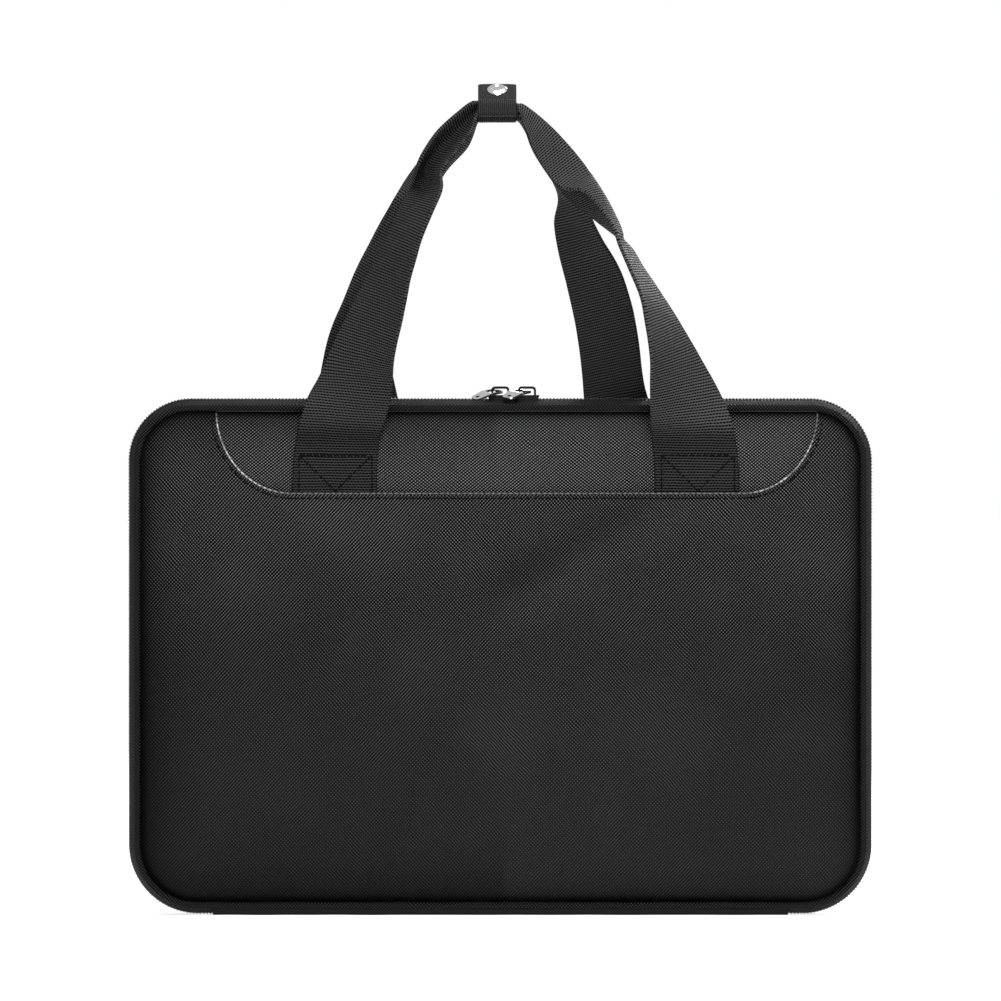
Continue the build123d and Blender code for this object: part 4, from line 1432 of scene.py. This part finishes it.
def makeBand(name, side, drop):
    low, high = keeperLow, keeperHigh
    zLow, zHigh = low.z - drop, low.z + keeper["height"] - drop
    wall, depths, columns = keeper["wall"], keeper["depths"], keeper["columns"]
    outer = roundedLoop((depths[0], zLow), (depths[1], zHigh), keeper["corner"])
    inner = roundedLoop((depths[0] + wall, zLow + wall), (depths[1] - wall, zHigh - wall),
                        keeper["corner"] - wall)
    size = len(outer)
    vertices, uvs, faces = [], [], []
    for layer, loop in enumerate((outer, inner)):
        for i in range(columns + 1):
            share = i / columns
            x = mixed(low.x, high.x, share)
            edge = min(share, 1 - share) * columns
            pull = keeper["edgePull"] * (1 - min(edge / 1.5, 1)) ** 2 * (1 if layer == 0 else -1)
            run = 0.0
            for j, (depth, z) in enumerate(loop):
                cy, cz = sum(depths) / 2, (zLow + zHigh) / 2
                out = Vector((depth - cy, z - cz)).normalized()
                wave = keeper["wave"] * noise.noise(Vector((x * 160, z * 160, depth * 160)))
                y = depth - out.x * pull + out.x * wave
                vertices.append((x, side * y, z - out.y * pull + out.y * wave))
                run += math.dist(loop[j], loop[j - 1]) if j else 0
                uvs.append((run, x))
    block = (columns + 1) * size
    for layer in (0, 1):
        for i in range(columns):
            for j in range(size):
                k = (j + 1) % size
                a, b = layer * block + i * size, layer * block + (i + 1) * size
                faces.append((a + j, a + k, b + k, b + j))
    for i in (0, columns):
        for j in range(size):
            k = (j + 1) % size
            faces.append((i * size + j, i * size + k, block + i * size + k, block + i * size + j))
    return newObject(name, vertices, faces, cloth["keeper"], uvs)


def tabPoint(across, along, out):
    turn = math.radians(keeper["lean"])
    origin = Vector(((keeperLow.x + keeperHigh.x) / 2, *keeper["tabFoot"]))
    return origin + Vector((across, 0, 0)) + Vector((0, math.sin(turn), math.cos(turn))) * along \
        + Vector((0, -math.cos(turn), math.sin(turn))) * out


def makeTab(name, out):
    # a flat tab with two round corners and softened edges
    half = (keeperHigh.x - keeperLow.x) / 2
    soften = keeper["soften"]
    columns = [half * math.sin(math.pi / 2 * (i / 8 - 1)) for i in range(17)]
    rows = 14
    vertices, uvs = [], []
    for share, shrink in ((0.0, soften), (0.22, 0), (0.78, 0), (1.0, soften)):
        height = out + share * keeper["tabThickness"]
        for x in columns:
            top = roundedTop(x, keeper["tabLength"], half, keeper["tabCorner"])
            cupped = keeper["cup"] * (x / half) ** 2
            for j in range(rows + 1):
                along = mixed(keeper["tabStart"], top, j / rows)
                back = shrink * (j / rows)
                vertices.append(tabPoint(x * (1 - shrink / half), along - back, height - cupped))
                uvs.append((x, along))
    return newObject(name, vertices, slabFaces(len(columns), rows + 1, 4), cloth["keeper"], uvs)


rearTabOut = -keeper["rearTabDrop"] - keeper["tabThickness"]
for side, word, drop, out in ((-1, "front", 0, 0), (1, "rear", keeper["rearBandDrop"], rearTabOut)):
    piece = joinPieces(word + "Keeper", [makeBand(word + "Band", side, drop), makeTab(word + "Tab", out)])
    smoothByAngle(piece, 50)
    fit(piece, word + "_handle", "keeper", word + "_keeper")
print("keepers made")


# inside: linings, document pocket, elastics, end tabs
lining = {"thickness": 0.75 * mm, "quilt": 0.3 * mm, "quiltFrom": 10 * mm, "clear": 0.05 * mm}


def makeLining(side, word, seed):
    inset = rim["halfWidth"] - liningHigh.x

    def depthAt(x, z):
        inside = distanceInside(x, z, inset)
        quilt = lining["quilt"] * noise.noise(Vector((x * 30, z * 30, seed)))
        return abs(liningHigh.y) - lining["clear"] - abs(quilt) * min(inside / lining["quiltFrom"], 1)

    columns = coverColumns(inset, None)
    baseAt, topAt = edgesAt(inset)
    piece = faceGrid(word + "Lining", columns, baseAt, topAt, depthAt, side, cloth["lining"],
                     thickness=lining["thickness"])
    fit(piece, word + "_cover", "lining", word + "_lining")
    cut = (columns[-1] - columns[0], topAt(0) - baseAt(0))
    area = flatArea(columns, baseAt, topAt)
    print(word, "lining cut", [round(size, 4) for size in cut], round(area, 5))


def columnsBetween(low, high, corner):
    left = arcSpaced(low, low + corner, 7)
    count = int((high - low - 2 * corner) / cover["column"])
    middle = [mixed(low + corner, high - corner, i / count) for i in range(count + 1)]
    right = [low + high - x for x in left[::-1]]
    return left + middle + right


pocket = {
    "corner": 18 * mm,
    "sag": 1.6 * mm,          # of its mouth
    "slack": 1.6 * mm,
    "slackReach": 30 * mm,    # from the sewn sides
    "thickness": 0.6 * mm,
    "clear": 0.05 * mm,
    "bandAbove": 0.2 * mm,
    "bandHeight": 11 * mm,
    "bandOut": 0.25 * mm,
    "bandThickness": 0.8 * mm,
    "gather": 0.176 * mm,
    "gatherPitch": 3.4 * mm,
    "bandColumns": 320,
}


def makeInnerPocket():
    low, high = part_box("inner_pocket")
    half, corner, reach = high.x, pocket["corner"], pocket["slackReach"]

    def topAt(x):
        return roundedTop(x, high.z, half, corner) - pocket["sag"] * (1 - (x / half) ** 2)

    def baseAt(x):
        return low.z + high.z - roundedTop(x, high.z, half, corner)

    def depthAt(x, z):
        beside = min((half - abs(x)) / reach, (z - low.z) / reach, 1)
        loose = 0.6 + 0.4 * noise.noise(Vector((x * 14, z * 18, 3)))
        return abs(low.y) - pocket["clear"] - pocket["slack"] * ease(max(beside, 0)) * loose

    def bandTop(x):
        return topAt(x) + pocket["bandAbove"]

    def bandDepth(x, z):
        drift = 2 * noise.noise(Vector((x * 40, 0, 1)))
        gather = pocket["gather"] * math.sin(x * 2 * math.pi / pocket["gatherPitch"] + drift)
        return depthAt(x, z) - pocket["thickness"] - pocket["bandOut"] + gather

    columns = columnsBetween(-half, half, corner)
    piece = faceGrid("innerPocket", columns, baseAt, topAt, depthAt, -1, cloth["lining"],
                     thickness=pocket["thickness"])
    end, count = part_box("inner_pocket_elastic")[1].x, pocket["bandColumns"]
    elastic = faceGrid("innerPocketElastic", [mixed(-end, end, i / count) for i in range(count + 1)],
                       lambda x: bandTop(x) - pocket["bandHeight"], bandTop, bandDepth, -1, cloth["elastic"],
                       thickness=pocket["bandThickness"])
    fit(piece, "front_cover", "pocket_fabric", "inner_pocket")
    fit(elastic, "front_cover", "elastic", "inner_pocket_elastic")
    cut = (2 * half, topAt(0) - baseAt(0))
    area = flatArea(columns, baseAt, topAt)
    print("inner pocket cut", [round(size, 4) for size in cut], round(area, 5))


cornerStrip = {
    "width": 20 * mm,
    "centre": (129.7 * mm, 77.45 * mm),   # from the middle of the cover
    "thickness": 0.8 * mm,
    "rise": 1.2 * mm,         # bows off the lining between its ends
    "clear": 0.1 * mm,
    "longest": 60 * mm,
    "step": 0.5 * mm,
    "rows": 8,
    "count": 40,
}


def stripReach(base, run, inset):
    # how far a line runs before it meets the inset outline
    reach, step = 0.0, cornerStrip["step"]
    while reach < cornerStrip["longest"]:
        if distanceInside(*(base + run * (reach + step)), inset) <= cornerStrip["clear"]:
            break
        reach += step
    return reach


def makeCornerElastics():
    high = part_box("corner_elastics")[1]
    inset = rim["halfWidth"] - high.x
    width, rows, count = cornerStrip["width"], cornerStrip["rows"], cornerStrip["count"]
    strips = []
    for sideX, sideZ in ((-1, -1), (-1, 1), (1, -1), (1, 1)):
        across, up = cornerStrip["centre"]
        centre = Vector((sideX * across, rim["height"] / 2 + sideZ * up))
        run = Vector((sideX, -sideZ)).normalized()
        perp = Vector((sideX, sideZ)).normalized()
        vertices, uvs = [], []
        for thickness in (0, cornerStrip["thickness"]):
            for j in range(rows + 1):
                base = centre + perp * width * (j / rows - 0.5)
                near, far = -stripReach(base, -run, inset), stripReach(base, run, inset)
                for i in range(count + 1):
                    along = mixed(near, far, i / count)
                    spot = base + run * along
                    rise = cornerStrip["rise"] * math.sin(math.pi * i / count)
                    vertices.append((spot.x, high.y - cornerStrip["clear"] - rise - thickness, spot.y))
                    uvs.append((width * j / rows, along))
        faces = slabFaces(rows + 1, count + 1)
        strips.append(newObject("cornerStrip", vertices, faces, cloth["elastic"], uvs))
    fit(joinPieces("cornerElastics", strips), "rear_cover", "elastic", "corner_elastics")


endTab = {
    "from": 119 * mm,         # from the middle of the case
    "inset": 0.05 * mm,
    "bulge": 0.15 * mm,
    "wave": 0.1 * mm,
    "columns": 16,
    "rows": 8,
}


def makeEndTabs():
    low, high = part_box("zip_end_tabs")
    columns, rows = endTab["columns"], endTab["rows"]
    tabs = []
    for way in (-1, 1):
        vertices, uvs = [], []
        for face, out in ((low.z + endTab["inset"], -1), (high.z - endTab["inset"], 1)):
            for i in range(columns + 1):
                x = mixed(endTab["from"], high.x, i / columns)
                for j in range(rows + 1):
                    y = mixed(low.y, high.y, j / rows)
                    bulge = endTab["bulge"] * math.sin(math.pi * i / columns) * math.sin(math.pi * j / rows)
                    wave = endTab["wave"] * noise.noise(Vector((x * 300, y * 300, 2)))
                    vertices.append((way * x, y, face + out * bulge + wave))
                    uvs.append((x, y))
        tabs.append(newObject("endTab", vertices, slabFaces(columns + 1, rows + 1), cloth["tape"], uvs))
    fit(joinPieces("zipEndTabs", tabs), "rear_cover", "end_tab", "zip_end_tabs")


makeLining(-1, "front", 1.5)
makeLining(1, "rear", 8.5)
makeInnerPocket()
makeCornerElastics()
makeEndTabs()
print("inside made")


# stitching
stitch = {
    "length": 2.5 * mm,
    "gap": 0.6 * mm,
    "thickness": 0.75 * mm,
    "margin": 2.4 * mm,       # from the sides of a strap end
    "top": 210 * mm,
    "base": 177.5 * mm,
    "proud": 0.12 * mm,
}


def stitchSpots(points, outward):
    # stitches along a 3D line; outward gives the surface normal at a point
    spots = []
    pitch = stitch["length"] + stitch["gap"]
    runs = [0.0]
    for a, b in zip(points, points[1:]):
        runs.append(runs[-1] + (b - a).length)
    k = 0
    for i in range(int(runs[-1] / pitch)):
        wanted = (i + 0.5) * pitch
        while runs[k + 1] < wanted:
            k += 1
        share = (wanted - runs[k]) / (runs[k + 1] - runs[k])
        place = points[k].lerp(points[k + 1], share)
        spots.append((place, (points[k + 1] - points[k]).normalized(), outward))
    return spots


def strapStitches(side, boxes):
    # the box and the cross sewn through each strap end
    spots = []
    for low, high in boxes:
        left, right = low.x + stitch["margin"], high.x - stitch["margin"]
        top, base = stitch["top"], stitch["base"]
        lines = [((left, top), (right, top)), ((left, top), (left, base)), ((right, top), (right, base)),
                 ((left, top), (right, base)), ((right, top), (left, base))]
        for (x0, z0), (x1, z1) in lines:
            count = 24
            points = []
            for i in range(count + 1):
                x, z = mixed(x0, x1, i / count), mixed(z0, z1, i / count)
                depth = padFace(x, z) + webbing["thickness"] / 2 + stitch["proud"]
                points.append(Vector((x, side * depth, z)))
            spots += stitchSpots(points, (0, side, 0))
    return spots


def edgeStitches(side, folds, seed):
    # the sewn line under the overlay's top edge
    points = []
    for x, z in yokeLine(side, inset=overlay["seamFrom"], step=1.5 * mm):
        if z > outlineTop(x, panelInset) - 2 * mm or z < 100 * mm:
            continue
        points.append(Vector((x, side * (overlayDepth(x, z, side, folds, seed) + 0.1 * mm), z)))
    return stitchSpots(points, (0, side, 0))


for side, word, boxes, folds, seed in ((-1, "front", frontStrapBoxes, frontFolds, 2.0),
                                       (1, "rear", rearStrapBoxes, rearFolds, 9.0)):
    thick = stitch["thickness"]
    source = capsule("stitchSource", stitch["length"], thick, thick * 0.8, sides=6)
    for label, spots in (("Strap", strapStitches(side, boxes)), ("Edge", edgeStitches(side, folds, seed))):
        piece = repeatPiece(word + label + "Stitches", source, cloth["thread"], spots, spread=0.08, seed=5)
        smoothByAngle(piece, 70)
        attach(piece, word + "_cover")
    bpy.data.objects.remove(source)
print("stitches made")


# finishes of the CAD pieces that stay
def repaint(material, *names):
    for name in names:
        node = nodes[name]
        node.data.materials.clear()
        node.data.materials.append(material)


repaint(metal["chrome"], "left_pull", "right_pull", "snap_cap")
repaint(metal["plated"], "snap_socket", "snap_stud", "snap_post", "zip_stops")
repaint(metal["enamel"], "left_slider_body", "left_slider_crown", "right_slider_body", "right_slider_crown")
repaint(metal["board"], "front_board", "rear_board")
repaint(metal["cord"], "front_piping_cord", "rear_piping_cord")
print("fittings painted")


# floor, light and camera
def makeFloor():
    mesh = bpy.data.meshes.new("studioFloor")
    size = 60
    corners = [(-size, -size, 0), (size, -size, 0), (size, size, 0), (-size, size, 0)]
    mesh.from_pydata(corners, [], [(0, 1, 2, 3)])
    floor = bpy.data.objects.new("studioFloor", mesh)
    scene.collection.objects.link(floor)
    material = bpy.data.materials.new("paleFloor")
    material.use_nodes = True
    tree = material.node_tree
    shader = tree.nodes["Principled BSDF"]
    grain = noiseNode(tree, coordinates(tree, False), 40, 2)
    spread = mathNode(tree, "ADD", mathNode(tree, "MULTIPLY", grain, 0.05), 0.6)
    tree.links.new(spread, shader.inputs["Roughness"])
    shader.inputs["Base Color"].default_value = (0.95, 0.95, 0.95, 1)
    shader.inputs["Specular IOR Level"].default_value = 0.1
    # the floor glows more with distance, so that it meets the background without a line
    away = tree.nodes.new("ShaderNodeVectorMath")
    away.operation = "LENGTH"
    tree.links.new(coordinates(tree, False), away.inputs[0])
    glow = tree.nodes.new("ShaderNodeMapRange")
    glow.inputs["From Min"].default_value = 0.3
    glow.inputs["From Max"].default_value = 1.6
    glow.inputs["To Min"].default_value = 0.75
    glow.inputs["To Max"].default_value = 1.0
    tree.links.new(away.outputs["Value"], glow.inputs["Value"])
    shader.inputs["Emission Color"].default_value = (1, 1, 1, 1)
    tree.links.new(glow.outputs[0], shader.inputs["Emission Strength"])
    mesh.materials.append(material)


def areaLight(name, place, target, size, power):
    light = bpy.data.lights.new(name, "AREA")
    light.shape = "RECTANGLE"
    light.size, light.size_y = size
    light.energy = power
    lamp = bpy.data.objects.new(name, light)
    scene.collection.objects.link(lamp)
    lamp.location = place
    lamp.rotation_euler = (Vector(target) - Vector(place)).to_track_quat("-Z", "Y").to_euler()


lighting = {
    "background": 1.0,
    "ambient": 0.06,
    "reflected": 0.55,       # what glossy surfaces see of the background
    "lamps": [
        ("keyLight", (0.1, -1.0, 1.2), (0, 0, 0.2), (0.6, 0.4), 22),
        ("fillLight", (0.7, -1.9, 0.5), (0, 0, 0.15), (0.6, 0.6), 6),
        ("topLight", (0.1, -0.15, 1.2), (0, 0, 0.1), (0.9, 0.4), 12),
        ("backLight", (0.5, 1.4, 0.9), (0, 0, 0.2), (1.0, 0.8), 20),
    ],
}
view = {"distance": 3.2, "centreX": 0.1 * mm, "centreZ": 189.4 * mm, "span": 458.5 * mm}

makeFloor()
for lamp in lighting["lamps"]:
    areaLight(*lamp)
world = bpy.data.worlds.new("studio")
world.use_nodes = True
tree = world.node_tree
sky = tree.nodes["Background"]
sky.inputs["Color"].default_value = (1, 1, 1, 1)
# the camera sees a white background, while a dimmer one lights the case
ray = tree.nodes.new("ShaderNodeLightPath")
seen, shone = lighting["background"] - lighting["ambient"], lighting["reflected"] - lighting["ambient"]
glow = mathNode(tree, "MULTIPLY", ray.outputs["Is Camera Ray"], seen)
shine = mathNode(tree, "MULTIPLY", ray.outputs["Is Glossy Ray"], shone)
glow = mathNode(tree, "ADD", mathNode(tree, "ADD", glow, shine), lighting["ambient"])
tree.links.new(glow, sky.inputs["Strength"])
scene.world = world
scene.view_settings.view_transform = "Standard"

camera = bpy.data.cameras.new("camera")
camera.sensor_width = 36
camera.lens = camera.sensor_width * view["distance"] / view["span"]
camera.clip_start = 0.05
cameraObject = bpy.data.objects.new("camera", camera)
scene.collection.objects.link(cameraObject)
cameraObject.location = (view["centreX"], -view["distance"], view["centreZ"])
cameraObject.rotation_euler = (math.pi / 2, 0, 0)
scene.camera = cameraObject

print("ready")
